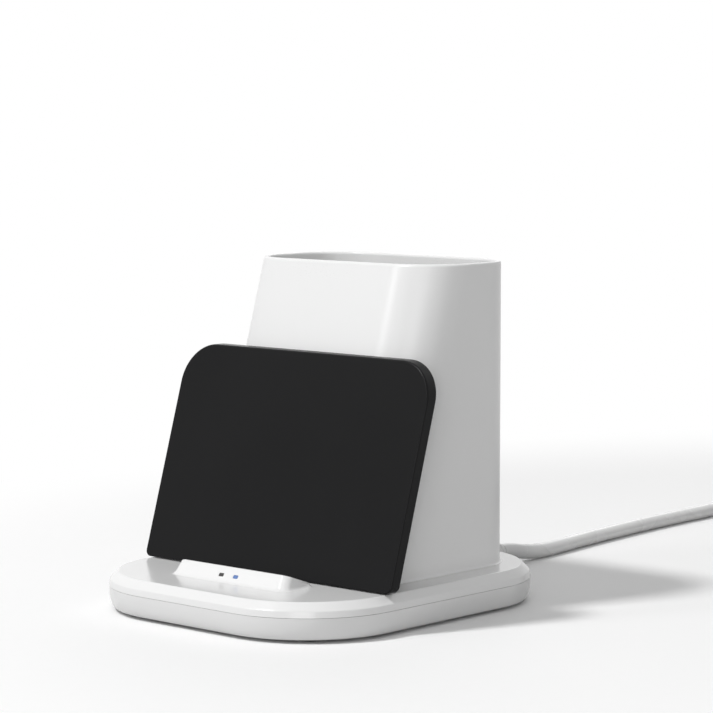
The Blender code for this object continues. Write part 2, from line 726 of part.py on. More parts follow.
def tab_shape(side, grown):
    """Tab under the panel that enters the deck, or with some growth its slot."""
    middle = side * TAB_MIDDLE
    reach = TAB_WIDTH / 2 + grown
    top = PANEL_SIDE_WALL / 2 if grown == 0 else OVERRUN
    bottom = -TAB_LENGTH if grown == 0 else -TAB_LENGTH - OVERRUN
    return leaning_box(
        middle - reach, middle + reach, bottom, top,
        TAB_START - grown, TAB_START + TAB_THICKNESS + grown,
    )


def wire_slot(low, high):
    """Passage for the wires of the charging coil."""
    near = PANEL_FRONT_WALL + (TAB_START - PANEL_FRONT_WALL) / 2
    return leaning_box(
        WIRE_SLOT_MIDDLE - WIRE_SLOT_WIDTH / 2, WIRE_SLOT_MIDDLE + WIRE_SLOT_WIDTH / 2,
        low, high, near, near + WIRE_SLOT_THICKNESS,
    )


def rubber_feet(surface):
    """Discs set into the tray's underside."""
    top = TRAY_UNDERSIDE + FOOT_RECESS - GAP
    profile = ((FOOT_RADIUS - FOOT_EASE, 0), (FOOT_RADIUS, FOOT_EASE), (FOOT_RADIUS, top))
    repeat(make("rubber_foot", surface, [turned((0, 0), profile)]), FEET)


def repeat(item, places):
    """Numbered copies of a piece that was made over the origin."""
    for number, place in enumerate(places, start=1):
        copy = bpy.data.objects.new(f"{item.name}_{number}", item.data)
        copy.location = (*place, 0) if len(place) == 2 else place
        bpy.context.scene.collection.objects.link(copy)
    bpy.data.objects.remove(item, do_unlink=True)


def screws(name, surface, places, head_radius, head_bottom, shank_radius, top, driven=False):
    """Set of equal screws that point up, with cross recesses where they can be reached."""
    item = make(name, surface, [
        screw((0, 0), head_radius, head_bottom, SCREW_HEAD_HEIGHT, shank_radius, top)
    ])
    long = head_radius * DRIVE_LENGTH_SHARE
    for x, y in ((DRIVE_WIDTH / 2, long), (long, DRIVE_WIDTH / 2)) if driven else ():
        cut(item, [box(-x, x, -y, y, head_bottom - OVERRUN, head_bottom + DRIVE_DEPTH)])
    repeat(item, places)


def board(name, surface, middle_y, width, depth, bottom, thickness, holes, hole_radius):
    """Circuit board with holes for its screws."""
    plan = rounded(width / 2, middle_y - depth / 2, middle_y + depth / 2, EMBED, steps=2)
    item = make(name, surface, [
        loft([[(x, y, height) for x, y in plan] for height in (bottom, bottom + thickness)])
    ])
    cut(item, [
        post(place, hole_radius, bottom - OVERRUN, bottom + thickness + OVERRUN, SCREW_SIDES)
        for place in holes
    ])
    return item


def hollow_end(width, thickness, wall, open_end, far_end, back_wall, height, middle):
    """Flat metal sleeve along Y, open at one end and closed at the other."""
    direction = math.copysign(1, far_end - open_end)
    half = thickness / 2
    outer = rounded(width / 2, -half, half, half * METAL_END_ROUND_SHARE)
    inner = rounded(
        width / 2 - wall, wall - half, half - wall, (half - wall) * METAL_END_ROUND_SHARE,
    )
    stations = (
        (outer, far_end), (outer, open_end),
        (inner, open_end), (inner, far_end - direction * back_wall),
    )
    return loft([
        [(middle + across, y, height + along) for across, along in outline]
        for outline, y in stations
    ])


def cup_front(height):
    """How far forward the cup's leaning front face is at a height."""
    return CUP_FRONT_FOOT + (height - CUP_FOOT) * math.tan(PANEL_LEAN)


def cup_loop(inset, height):
    """Outline of the cup at a height, drawn in by the inset."""
    plan = rounded(
        CUP_WIDTH / 2 - inset,
        cup_front(height) + inset / math.cos(PANEL_LEAN),
        CUP_REAR - inset,
        CUP_CORNER - inset,
        steps=CUP_STEPS,
    )
    return [(x, y, height) for x, y in plan]


def cup_shell(surface):
    """Open cup: inside floor, wall, round rim, outside and foot, then bosses for screws."""
    floor = CUP_FOOT + CUP_FLOOR
    stations = []
    for step in range(EASE_STEPS + 1):
        angle = math.pi / 2 * step / EASE_STEPS
        stations.append((
            CUP_WALL + CUP_FLOOR_EASE * (1 - math.sin(angle)),
            floor + CUP_FLOOR_EASE * (1 - math.cos(angle)),
        ))
    half = CUP_WALL / 2
    for step in range(2 * EASE_STEPS + 1):
        angle = math.pi * step / (2 * EASE_STEPS)
        stations.append((half + half * math.cos(angle), CUP_RIM_HEIGHT - half + half * math.sin(angle)))
    stations += [(0, CUP_FOOT + CUP_FOOT_EASE), (CUP_FOOT_EASE, CUP_FOOT)]
    cup = make("cup_shell", surface, [loft([cup_loop(inset, height) for inset, height in stations])])
    add(cup, [post(place, CUP_BOSS_RADIUS, DECK_UNDERSIDE, CUP_FOOT + EMBED) for place in CUP_SCREWS])
    cut(cup, [
        post(place, SCREW_SHANK_RADIUS + GAP, DECK_UNDERSIDE - OVERRUN, CUP_SCREW_TOP + GAP, SCREW_SIDES)
        for place in CUP_SCREWS
    ])
    return cup


def panel_face(inset):
    """Outline of the panel in its own plane, drawn in by the inset."""
    return rounded(
        PANEL_WIDTH / 2 - inset, inset, PANEL_HEIGHT - inset,
        max(PANEL_LOWER_CORNER - inset, EMBED), PANEL_UPPER_CORNER - inset, steps=CUP_STEPS,
    )


PANEL_SCREWS = corners_of(PANEL_SCREW_X, PANEL_SCREW_RISES)
BACK_PLATE_FRONT = PANEL_THICKNESS - PANEL_BACK_PLATE


def panel_cover(surface):
    """Front of the charging panel: a shallow tray with round edges, tabs and screw bosses."""
    stations = [(PANEL_SIDE_WALL, PANEL_FRONT_WALL), (PANEL_SIDE_WALL, PANEL_THICKNESS)]
    stations += [(0, PANEL_THICKNESS)]
    for step in range(EASE_STEPS + 1):
        angle = math.pi / 2 * step / EASE_STEPS
        stations.append((
            PANEL_EDGE_EASE * (1 - math.cos(angle)),
            PANEL_EDGE_EASE * (1 - math.sin(angle)),
        ))
    cover = make("panel_cover", surface, [loft([
        [leaning(x, rise, depth) for x, rise in panel_face(inset)] for inset, depth in stations
    ])])
    add(cover, [tab_shape(side, 0) for side in TAB_SIDES])
    add(cover, [
        leaning_turned(
            place,
            (
                (PANEL_BOSS_RADIUS, PANEL_FRONT_WALL - PANEL_BOSS_SKIN),
                (PANEL_BOSS_RADIUS, BACK_PLATE_FRONT - FINE_GAP),
            ),
            SCREW_SIDES,
        )
        for place in PANEL_SCREWS
    ])
    bore = PANEL_SCREW_SHANK_RADIUS + FINE_GAP
    cut(cover, [
        leaning_turned(place, ((bore, PANEL_FRONT_WALL), (bore, PANEL_THICKNESS)), SCREW_SIDES)
        for place in PANEL_SCREWS
    ])
    cut(cover, [wire_slot(-OVERRUN, PANEL_SIDE_WALL + OVERRUN)])
    return cover


def panel_back(surface):
    """Plate that closes the panel from behind."""
    face = panel_face(PANEL_SIDE_WALL + GAP)
    plate = make("panel_back", surface, [leaning_plate(face, BACK_PLATE_FRONT, PANEL_THICKNESS)])
    bore = PANEL_SCREW_SHANK_RADIUS + FINE_GAP
    behind = PANEL_THICKNESS + OVERRUN
    cut(plate, [
        leaning_turned(place, ((bore, PANEL_FRONT_WALL), (bore, behind)), SCREW_SIDES)
        for place in PANEL_SCREWS
    ])
    return plate


def panel_screws(surface):
    """Small screws through the back plate, heads to the rear."""
    neck = PANEL_THICKNESS + FINE_GAP
    head_top = neck + PANEL_SCREW_HEAD_HEIGHT
    profile = (
        (PANEL_SCREW_SHANK_RADIUS, PANEL_FRONT_WALL + FINE_GAP),
        (PANEL_SCREW_SHANK_RADIUS, neck),
        (PANEL_SCREW_HEAD_RADIUS, neck),
        (PANEL_SCREW_HEAD_RADIUS, head_top - PANEL_SCREW_HEAD_HEIGHT / 2),
        (PANEL_SCREW_HEAD_RADIUS * HEAD_CROWN_SHARE, head_top),
    )
    item = make("panel_screw", surface, [leaning_turned((0, 0), profile, SCREW_SIDES)])
    half = DRIVE_WIDTH / 3
    long = PANEL_SCREW_HEAD_RADIUS * DRIVE_LENGTH_SHARE
    for across, along in ((half, long), (long, half)):
        cut(item, [leaning_box(
            -across, across, -along, along,
            head_top - PANEL_SCREW_HEAD_HEIGHT / 2, head_top + OVERRUN,
        )])
    origin = Vector(leaning(0, 0, 0))
    repeat(item, [Vector(leaning(x, rise, 0)) - origin for x, rise in PANEL_SCREWS])


def charging_coil(surface):
    """Flat spiral of one wire, wound outwards from the middle of the panel."""
    near = PANEL_FRONT_WALL + FINE_GAP
    count = COIL_TURNS * POINTS_PER_LOOP
    loops = []
    for index in range(count + 1):
        angle = math.tau * index / POINTS_PER_LOOP - math.pi / 2
        radius = COIL_INNER_RADIUS + COIL_PITCH * index / POINTS_PER_LOOP
        section = []
        for side, depth in ((-1, near), (1, near), (1, near + COIL_WIRE_THICKNESS),
                            (-1, near + COIL_WIRE_THICKNESS)):
            reach = radius + side * COIL_WIRE_WIDTH / 2
            section.append(leaning(
                reach * math.cos(angle), COIL_MIDDLE_RISE + reach * math.sin(angle), depth,
            ))
        loops.append(section)
    print("charging coil, gap between turns (mm):", (COIL_PITCH - COIL_WIRE_WIDTH) / MM)
    return make("charging_coil", surface, [loft(loops)])


def ferrite_sheet(surface):
    """Sheet behind the coil."""
    near = PANEL_FRONT_WALL + FINE_GAP * 2 + COIL_WIRE_THICKNESS
    half = FERRITE_SIZE / 2
    face = rounded(half, COIL_MIDDLE_RISE - half, COIL_MIDDLE_RISE + half, FERRITE_CORNER)
    return make("ferrite_sheet", surface, [leaning_plate(face, near, near + FERRITE_THICKNESS)])


def fixing_tape(surface):
    """Thin adhesive pad between the panel and the cup's flat front."""
    near = PANEL_THICKNESS + FINE_GAP
    half = TAPE_WIDTH / 2
    return make("fixing_tape", surface, [
        leaning_box(-half, half, TAPE_LOW, TAPE_HIGH, near, near + TAPE_THICKNESS)
    ])


def smooth_route(anchors, spacing):
    """Points at an even spacing on a smooth curve through the anchors."""
    anchors = [Vector(anchor) for anchor in anchors]
    ends = [anchors[0] * 2 - anchors[1]] + anchors + [anchors[-1] * 2 - anchors[-2]]
    fine = []
    parts = 24
    for before, start, stop, after in zip(ends, ends[1:], ends[2:], ends[3:]):
        for part in range(parts):
            t = part / parts
            fine.append(
                (start * 2 + (stop - before) * t
                 + (before * 2 - start * 5 + stop * 4 - after) * t ** 2
                 + (start * 3 - before - stop * 3 + after) * t ** 3) / 2
            )
    fine.append(anchors[-1])
    travelled = [0]
    for first, second in zip(fine, fine[1:]):
        travelled.append(travelled[-1] + (second - first).length)
    count = max(2, round(travelled[-1] / spacing))
    points = []
    index = 0
    for step in range(count + 1):
        target = travelled[-1] * step / count
        while index < len(fine) - 2 and travelled[index + 1] < target:
            index += 1
        share = (target - travelled[index]) / (travelled[index + 1] - travelled[index])
        points.append(fine[index].lerp(fine[index + 1], share))
    return points


def tube(name, surface, route, radius, resolution):
    """Round tube along a list of points, with closed ends."""
    curve = bpy.data.curves.new(name, "CURVE")
    curve.dimensions = "3D"
    curve.bevel_depth = radius
    curve.bevel_resolution = resolution
    curve.use_fill_caps = True
    spline = curve.splines.new("POLY")
    spline.points.add(len(route) - 1)
    for point, place in zip(spline.points, route):
        point.co = (*place, 1)
    curve.materials.append(surface)
    item = bpy.data.objects.new(name, curve)
    bpy.context.scene.collection.objects.link(item)
    return item


def run_length(points):
    """Length along a list of points."""
    return sum((Vector(b) - Vector(a)).length for a, b in zip(points, points[1:]))


def coil_leads(surface):
    """Two wires from the panel, through the deck, to the main board."""
    depth = PANEL_FRONT_WALL + (TAB_START - PANEL_FRONT_WALL) / 2 + WIRE_SLOT_THICKNESS / 2
    height = BOARD_BOTTOM + BOARD_THICKNESS / 2
    for number, x in enumerate(COIL_LEAD_X, start=1):
        top = Vector(leaning(x, COIL_LEAD_TOP_RISE, depth))
        low = Vector(leaning(x, COIL_LEAD_LOW_RISE, depth))
        turn = Vector((x, low.y + COIL_LEAD_BEND / 2, height))
        away = Vector((x, turn.y + COIL_LEAD_BEND, height))
        end = Vector((x, BOARD_FRONT - GAP, height))
        bend = low.lerp(turn, COIL_LEAD_BEND_SHARE) - Vector((0, COIL_LEAD_BEND / 6, 0))
        route = [top, low, bend, turn, away, end]
        tube(f"coil_lead_{number}", surface, route, COIL_LEAD_RADIUS, 1)


def lamp_ribbon(surface):
    """Flat cable from the lamp board to the main board."""
    half = LAMP_RIBBON_WIDTH / 2
    start = LAMP_BOARD_MIDDLE + LAMP_BOARD_SIZE[1] / 2 + GAP
    return make("lamp_ribbon", surface, [box(
        -half, half, start, BOARD_FRONT - GAP,
        LAMP_RIBBON_HEIGHT, LAMP_RIBBON_HEIGHT + LAMP_RIBBON_THICKNESS,
    )])


def plug_body(name, surface, width, thickness, start, end, height, middle):
    """Moulded grip with eased ends."""
    direction = math.copysign(1, end - start)
    stations = (
        (PLUG_BODY_EASE, start), (PLUG_BODY_EASE / 4, start + direction * PLUG_BODY_EASE / 4),
        (0, start + direction * PLUG_BODY_EASE), (0, end - direction * PLUG_BODY_EASE * 2),
        (PLUG_BODY_EASE / 2, end - direction * PLUG_BODY_EASE / 2), (PLUG_BODY_TAPER, end),
    )
    loops = []
    for inset, y in stations:
        half = thickness / 2 - inset
        outline = rounded(width / 2 - inset, -half, half, half * PLUG_BODY_ROUND_SHARE)
        loops.append([(middle + across, y, height + along) for across, along in outline])
    return make(name, surface, [loft(loops)])


def strain_relief(name, surface, start, end, height, middle):
    """Tapered sleeve with ribs round it."""
    stations = []
    count = RELIEF_RIBS * STEPS_PER_RIB
    for step in range(count + 1):
        share = step / count
        radius = RELIEF_START_RADIUS + (RELIEF_END_RADIUS - RELIEF_START_RADIUS) * share
        if step % STEPS_PER_RIB == STEPS_PER_RIB // 2:
            radius += RELIEF_RIB_RADIUS
        stations.append((radius, start + (end - start) * share))
    return make(name, surface, [loft([
        [
            (middle + x, y, height + z)
            for x, z, _ in circle((0, 0), radius, 0, SCREW_SIDES)
        ]
        for radius, y in stations
    ])])


def coiled_point(turn):
    """Point of the coiled lead after a number of turns."""
    half_way = COILED_TURNS / 2
    radius = COILED_INNER_RADIUS + COILED_PITCH * abs(turn - half_way)
    climb = min(max((turn - half_way) / COILED_CLIMB_TURNS + COILED_CLIMB_TURNS, 0), 1)
    climb = climb * climb * (3 - 2 * climb)
    angle = math.pi - math.tau * turn
    return (
        COILED_MIDDLE[0] + radius * math.cos(angle),
        COILED_MIDDLE[1] + radius * math.sin(angle),
        COILED_LOW_HEIGHT + COILED_PITCH * climb,
    )


def coiled_route():
    """Whole coil: a straight start, the turns in and out again, and a straight end."""
    turns = [
        coiled_point(index / POINTS_PER_LOOP)
        for index in range(round(COILED_TURNS * POINTS_PER_LOOP) + 1)
    ]
    first, last = Vector(turns[0]), Vector(turns[-1])
    straight = Vector((0, LEAD_RADIUS * 2, 0))
    return [first - straight] + turns + [last - straight]


def least_gap(points, radius, loop_points):
    """Least distance between turns of one tube, measured on its points."""
    least = math.inf
    for index, point in enumerate(points):
        for other in points[index + loop_points // 2:]:
            least = min(least, (Vector(point) - Vector(other)).length)
    return least - 2 * radius


def ring_of(angle, radial_low, radial_high, low, high, half_width, grown):
    """Two loops round the coil's bundle at one angle, before and after it."""
    radial = Vector((math.cos(angle), math.sin(angle), 0))
    tangent = Vector((-math.sin(angle), math.cos(angle), 0))
    middle = (radial_low + radial_high) / 2
    outline = rounded(
        (radial_high - radial_low) / 2 + grown, low - grown, high + grown,
        TIE_EASE + grown - TIE_THICKNESS,
    )
    centre = Vector((*COILED_MIDDLE, 0))
    loops = []
    for side in (-half_width, half_width):
        loops.append([
            centre + radial * (middle + across) + tangent * side + Vector((0, 0, up))
            for across, up in outline
        ])
    return loops


def lead_ties(surface):
    """Two flat straps round the coiled lead, at its back and at its front."""
    low = TIE_THICKNESS
    high = COILED_LOW_HEIGHT + COILED_PITCH + LEAD_RADIUS + GAP
    reach = LEAD_RADIUS + TIE_CLEARANCE
    for number, (angle, first_turn, last_turn) in enumerate(TIED_TURNS, start=1):
        inner_edge = COILED_INNER_RADIUS + first_turn * COILED_PITCH - reach
        outer_edge = COILED_INNER_RADIUS + last_turn * COILED_PITCH + reach
        inner = ring_of(angle, inner_edge, outer_edge, low, high, TIE_WIDTH / 2, 0)
        outer = ring_of(angle, inner_edge, outer_edge, low, high, TIE_WIDTH / 2, TIE_THICKNESS)
        strap = loft([outer[0], outer[1], inner[1], inner[0]], closed=True)
        make(f"lead_tie_{number}", surface, [strap])


def supply_lead(white, steel, dark):
    """Lead from the base to its far plug, with the unseen length coiled."""
    hollow = hollow_end(
        PLUG_TIP_WIDTH, PLUG_TIP_THICKNESS, PLUG_TIP_WALL,
        PLUG_TIP_FRONT, PLUG_TIP_REAR, PLUG_TIP_WALL, PORT_HEIGHT, 0,
    )
    make("lead_plug_tip", steel, [hollow])
    body_start = PLUG_TIP_REAR + GAP
    body_end = body_start + PLUG_BODY_LENGTH
    plug_body(
        "lead_plug_body", white, PLUG_BODY_WIDTH, PLUG_BODY_THICKNESS,
        body_start, body_end, PORT_HEIGHT, 0,
    )
    strain_relief(
        "lead_strain_relief", white, body_end + GAP, LEAD_START - GAP, PORT_HEIGHT, 0,
    )
    free = smooth_route([(x, LEAD_START + y, z) for x, y, z in LEAD_ROUTE], LEAD_STEP)
    tube("charging_lead", white, free, LEAD_RADIUS, 2)

    coiled = coiled_route()
    tube("lead_coil", white, coiled, LEAD_RADIUS, 1)
    print("lead coil, least gap to itself (mm):",
          least_gap(coiled, LEAD_RADIUS, POINTS_PER_LOOP) / MM)

    start = Vector(coiled[-1]) - Vector((0, GAP, 0))
    drop = FAR_PLUG_HEIGHT - start.z
    anchors = [
        start + Vector((0, -TAIL_LENGTH * share, drop * share * share * (3 - 2 * share)))
        for share in TAIL_SHARES
    ]
    tail = smooth_route(anchors, LEAD_STEP / 2)
    tube("lead_tail", white, tail, LEAD_RADIUS, 2)
    print("lead length (mm):", (run_length(free) + run_length(coiled) + run_length(tail)) / MM)

    x = start.x
    relief_start = tail[-1].y - GAP
    relief_end = relief_start - RELIEF_LENGTH
    strain_relief("far_strain_relief", white, relief_end, relief_start, FAR_PLUG_HEIGHT, x)
    far_start = relief_end - GAP
    far_end = far_start - FAR_BODY_LENGTH
    plug_body(
        "far_plug_body", white, FAR_BODY_WIDTH, FAR_BODY_THICKNESS,
        far_end, far_start, FAR_PLUG_HEIGHT, x,
    )
    tip_start = far_end - GAP
    tip_end = tip_start - FAR_TIP_LENGTH
    half = FAR_TIP_THICKNESS / 2
    outer = rounded(FAR_TIP_WIDTH / 2, -half, half, FAR_TIP_WALL)
    inner = rounded(
        FAR_TIP_WIDTH / 2 - FAR_TIP_WALL, FAR_TIP_WALL - half, half - FAR_TIP_WALL,
        FAR_TIP_WALL / 2,
    )
    stations = (
        (outer, tip_start), (outer, tip_end), (inner, tip_end), (inner, tip_start - FAR_TIP_WALL),
    )
    make("far_plug_tip", steel, [loft([
        [(x + across, y, FAR_PLUG_HEIGHT + along) for across, along in outline]
        for outline, y in stations
    ])])
    tongue_start = tip_start - FAR_TIP_WALL - GAP
    reach = FAR_TIP_WIDTH / 2 - FAR_TIP_WALL - GAP
    top = FAR_PLUG_HEIGHT + half - FAR_TIP_WALL - GAP
    make("far_plug_tongue", dark, [box(
        x - reach, x + reach, tongue_start - FAR_TONGUE_LENGTH, tongue_start,
        top - FAR_TONGUE_THICKNESS, top,
    )])


def electronics(green, chip, steel, brown, ferrite, blue, smoked, red):
    """Boards, parts and lamps under the deck."""
    middle = (BOARD_FRONT + BOARD_REAR) / 2
    hole = SCREW_SHANK_RADIUS + GAP
    board(
        "main_board", green, middle, BOARD_WIDTH, BOARD_REAR - BOARD_FRONT,
        BOARD_BOTTOM, BOARD_THICKNESS, BOARD_SCREWS, hole,
    )
    head_bottom = BOARD_BOTTOM - GAP - SCREW_HEAD_HEIGHT
    screws(
        "board_screw", steel, BOARD_SCREWS, SCREW_HEAD_RADIUS, head_bottom,
        SCREW_SHANK_RADIUS, BOARD_SCREW_TOP,
    )
    top = BOARD_BOTTOM - GAP
    chip_row = BOARD_FRONT + CHIP_ROW
    make("control_chip", chip, [block((CHIP_X, chip_row), CHIP_SIZE, top)])
    make("power_inductor", ferrite, [block((INDUCTOR_X, chip_row), INDUCTOR_SIZE, top)])
    capacitor = make("resonant_capacitor", brown, [block((0, 0), CAPACITOR_SIZE, top)])
    repeat(capacitor, [(x, BOARD_FRONT + CAPACITOR_ROW) for x in CAPACITOR_X])
    make("bridge_chip", chip, [block((BRIDGE_X, BOARD_FRONT + BRIDGE_ROW), BRIDGE_SIZE, top)])
    make("usb_socket", steel, [hollow_end(
        SOCKET_WIDTH, SOCKET_THICKNESS, SOCKET_WALL, SOCKET_REAR, SOCKET_REAR - SOCKET_LENGTH,
        SOCKET_BACK_WALL, PORT_HEIGHT, 0,
    )])
    tongue_front = SOCKET_REAR - SOCKET_LENGTH + SOCKET_BACK_WALL + GAP
    make("usb_socket_tongue", chip, [box(
        -TONGUE_WIDTH / 2, TONGUE_WIDTH / 2, tongue_front, tongue_front + TONGUE_LENGTH,
        PORT_HEIGHT - TONGUE_THICKNESS / 2, PORT_HEIGHT + TONGUE_THICKNESS / 2,
    )])
    width, depth, thickness = LAMP_BOARD_SIZE
    board(
        "lamp_board", green, LAMP_BOARD_MIDDLE, width, depth, LAMP_BOARD_BOTTOM, thickness,
        LAMP_SCREWS, LAMP_SCREW_SHANK_RADIUS + GAP,
    )
    screws(
        "lamp_board_screw", steel, LAMP_SCREWS, LAMP_SCREW_HEAD_RADIUS,
        LAMP_BOARD_BOTTOM - GAP - SCREW_HEAD_HEIGHT, LAMP_SCREW_SHANK_RADIUS, BOARD_SCREW_TOP,
    )
    lamp_top = LAMP_BOARD_BOTTOM + thickness + GAP + LAMP_SIZE[2]
    for name, surface, side in (("standby_lamp", red, -1), ("charging_lamp", blue, 1)):
        place = (side * WINDOW_SPACING / 2, LAMP_BOARD_MIDDLE)
        make(name, surface, [block(place, LAMP_SIZE, lamp_top)])
    for name, surface, side in (("standby_window", smoked, -1), ("charging_window", blue, 1)):
        make(name, surface, [
            window_shape(side * WINDOW_SPACING / 2, 0, WINDOW_SINK, WINDOW_LENGTH)
        ])


def build():
    """Make every piece of the stand."""
    clear_scene()
    base_white = finish("base_white", WHITE, 0.22, 0)
    cup_white = finish("cup_white", CUP_WHITE, 0.32, 0)
    black = finish("panel_black", BLACK, 0.42, 0)
    rubber = finish("foot_rubber", RUBBER_GREY, 0.8, 0)
    steel = finish("plated_steel", STEEL, 0.3, 1)
    green = finish("board_green", BOARD_GREEN, 0.4, 0)
    chip = finish("chip_black", CHIP_BLACK, 0.5, 0)
    brown = finish("capacitor_brown", CAPACITOR_BROWN, 0.45, 0)
    ferrite = finish("ferrite_grey", FERRITE_GREY, 0.6, 0)
    copper = finish("coil_copper", COPPER, 0.35, 1)
    blue = finish("blue_lens", BLUE_LIGHT, 0.2, 0)
    smoked = finish("smoked_lens", SMOKED, 0.25, 0)
    tape = finish("tape_grey", TAPE_GREY, 0.7, 0)
    red = finish("wire_red", RED, 0.5, 0)
    lead_white = finish("lead_white", CUP_WHITE, 0.38, 0)

    base_top_shell(base_white)
    base_bottom_shell(base_white)
    rubber_feet(rubber)
    screws(
        "base_screw", steel, BASE_SCREWS, SCREW_HEAD_RADIUS, BASE_SCREW_HEAD_BOTTOM,
        SCREW_SHANK_RADIUS, BASE_SCREW_TOP, driven=True,
    )
    cup_shell(cup_white)
    screws(
        "cup_screw", steel, CUP_SCREWS, CUP_SCREW_HEAD_RADIUS,
        DECK_UNDERSIDE - GAP - SCREW_HEAD_HEIGHT, SCREW_SHANK_RADIUS, CUP_SCREW_TOP,
    )
    panel_cover(black)
    panel_back(black)
    panel_screws(steel)
    charging_coil(copper)
    ferrite_sheet(ferrite)
    fixing_tape(tape)
    coil_leads(red)
    lamp_ribbon(tape)
    electronics(green, chip, steel, brown, ferrite, blue, smoked, red)
    supply_lead(lead_white, steel, chip)
    lead_ties(chip)


build()
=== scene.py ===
"""Looks of a desk stand: a tall cup and a leaning charging panel on a low base, with its lead.

Metres, +Z up. The middle of the base on the desk is the origin, and the front faces -Y.
"""
import math

import bmesh
import bpy
from mathutils import Matrix, Vector


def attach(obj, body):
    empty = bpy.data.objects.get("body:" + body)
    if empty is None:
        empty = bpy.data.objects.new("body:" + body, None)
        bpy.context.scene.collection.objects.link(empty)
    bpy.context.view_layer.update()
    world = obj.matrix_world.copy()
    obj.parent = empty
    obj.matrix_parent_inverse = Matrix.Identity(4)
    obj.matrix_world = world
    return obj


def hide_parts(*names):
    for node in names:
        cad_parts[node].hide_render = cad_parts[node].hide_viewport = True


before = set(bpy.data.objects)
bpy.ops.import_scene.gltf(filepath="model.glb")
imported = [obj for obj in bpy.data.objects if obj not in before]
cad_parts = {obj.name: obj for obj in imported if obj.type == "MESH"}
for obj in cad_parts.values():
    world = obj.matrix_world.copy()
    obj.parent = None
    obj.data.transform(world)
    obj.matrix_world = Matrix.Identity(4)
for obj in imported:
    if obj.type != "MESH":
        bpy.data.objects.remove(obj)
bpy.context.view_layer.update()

MM = 0.001

# Camera: at the right front, a little over the cup's rim and looking slightly
# down, through a long lens that keeps the uprights nearly parallel.
CAMERA_SENSOR = 36
CAMERA_LENS = 136.1
CAMERA_PLACE = (535.7 * MM, -576.5 * MM, 147.95 * MM)
CAMERA_TILT = math.radians(84.57)
CAMERA_TURN = math.radians(42.15)

camera = bpy.data.objects.new("camera", bpy.data.cameras.new("camera"))
bpy.context.scene.collection.objects.link(camera)
camera.data.sensor_width = CAMERA_SENSOR
camera.data.lens = CAMERA_LENS
camera.location = CAMERA_PLACE
camera.rotation_euler = (CAMERA_TILT, 0, CAMERA_TURN)
bpy.context.scene.camera = camera

# Charging lead: one metre of round cable, 4.8 mm thick, in a soft white sleeve. It drops from
# the plug to the desk, runs back and lies in a tied coil of two layers behind the stand, from
# where its last few centimetres come forward again to the far plug.
LEAD_RADIUS = 2.4 * MM
LEAD_START = 83.9 * MM
LEAD_ROUTE = (
    (0.0, 0.0, 4.8), (0.0, 4.1, 4.6), (-0.1, 13.1, 3.2), (-0.7, 22.1, 2.5), (-2.1, 34.1, 2.45),
    (-3.8, 46.1, 2.45), (-5.3, 59.1, 2.45), (-6.7, 72.4, 2.45), (-8.3, 92.1, 2.45),
    (-9.3, 111.5, 2.45), (-9.6, 126.1, 2.5), (-9.4, 138.1, 3.0), (-9.4, 146.1, 3.55),
    (-9.4, 151.0, 3.6),
)
COIL_MIDDLE = Vector((25.075, 240.0, 0.0)) * MM
COIL_INNER_RADIUS = 22.55 * MM
COIL_PITCH = 5.3 * MM
COIL_TURNS = 4.5
COIL_LOW = 3.6 * MM
CLIMB_TURNS = 0.5
POINTS_PER_TURN = 24
TAIL_LENGTH = 34.0 * MM
TAIL_SHARES = (0.15, 0.4, 0.65, 0.85, 1)
FAR_HEIGHT = 4.1 * MM


def gently(share):
    """The share with a slow start and a slow end."""
    return share * share * (3 - 2 * share)


def coiled(turn):
    """Point of the coil: two layers, wound in below and out again above."""
    half_way = COIL_TURNS / 2
    radius = COIL_INNER_RADIUS + COIL_PITCH * abs(turn - half_way)
    climb = min(max((turn - half_way) / CLIMB_TURNS + 0.5, 0), 1)
    height = COIL_LOW + COIL_PITCH * gently(climb)
    angle = math.pi - math.tau * turn
    return COIL_MIDDLE + Vector((radius * math.cos(angle), radius * math.sin(angle), height))


lead_route = [Vector((x * MM, LEAD_START + y * MM, z * MM)) for x, y, z in LEAD_ROUTE]
coil_points = round(COIL_TURNS * POINTS_PER_TURN) + 1
lead_route += [coiled(index / POINTS_PER_TURN) for index in range(coil_points)]
coil_end = lead_route[-1] - Vector((0, 2 * LEAD_RADIUS, 0))
lead_route.append(coil_end)
tail_drop = FAR_HEIGHT - coil_end.z
for share in TAIL_SHARES:
    lead_route.append(coil_end + Vector((0, -TAIL_LENGTH * share, tail_drop * gently(share))))
far_x, far_y = lead_route[-1].x, lead_route[-1].y


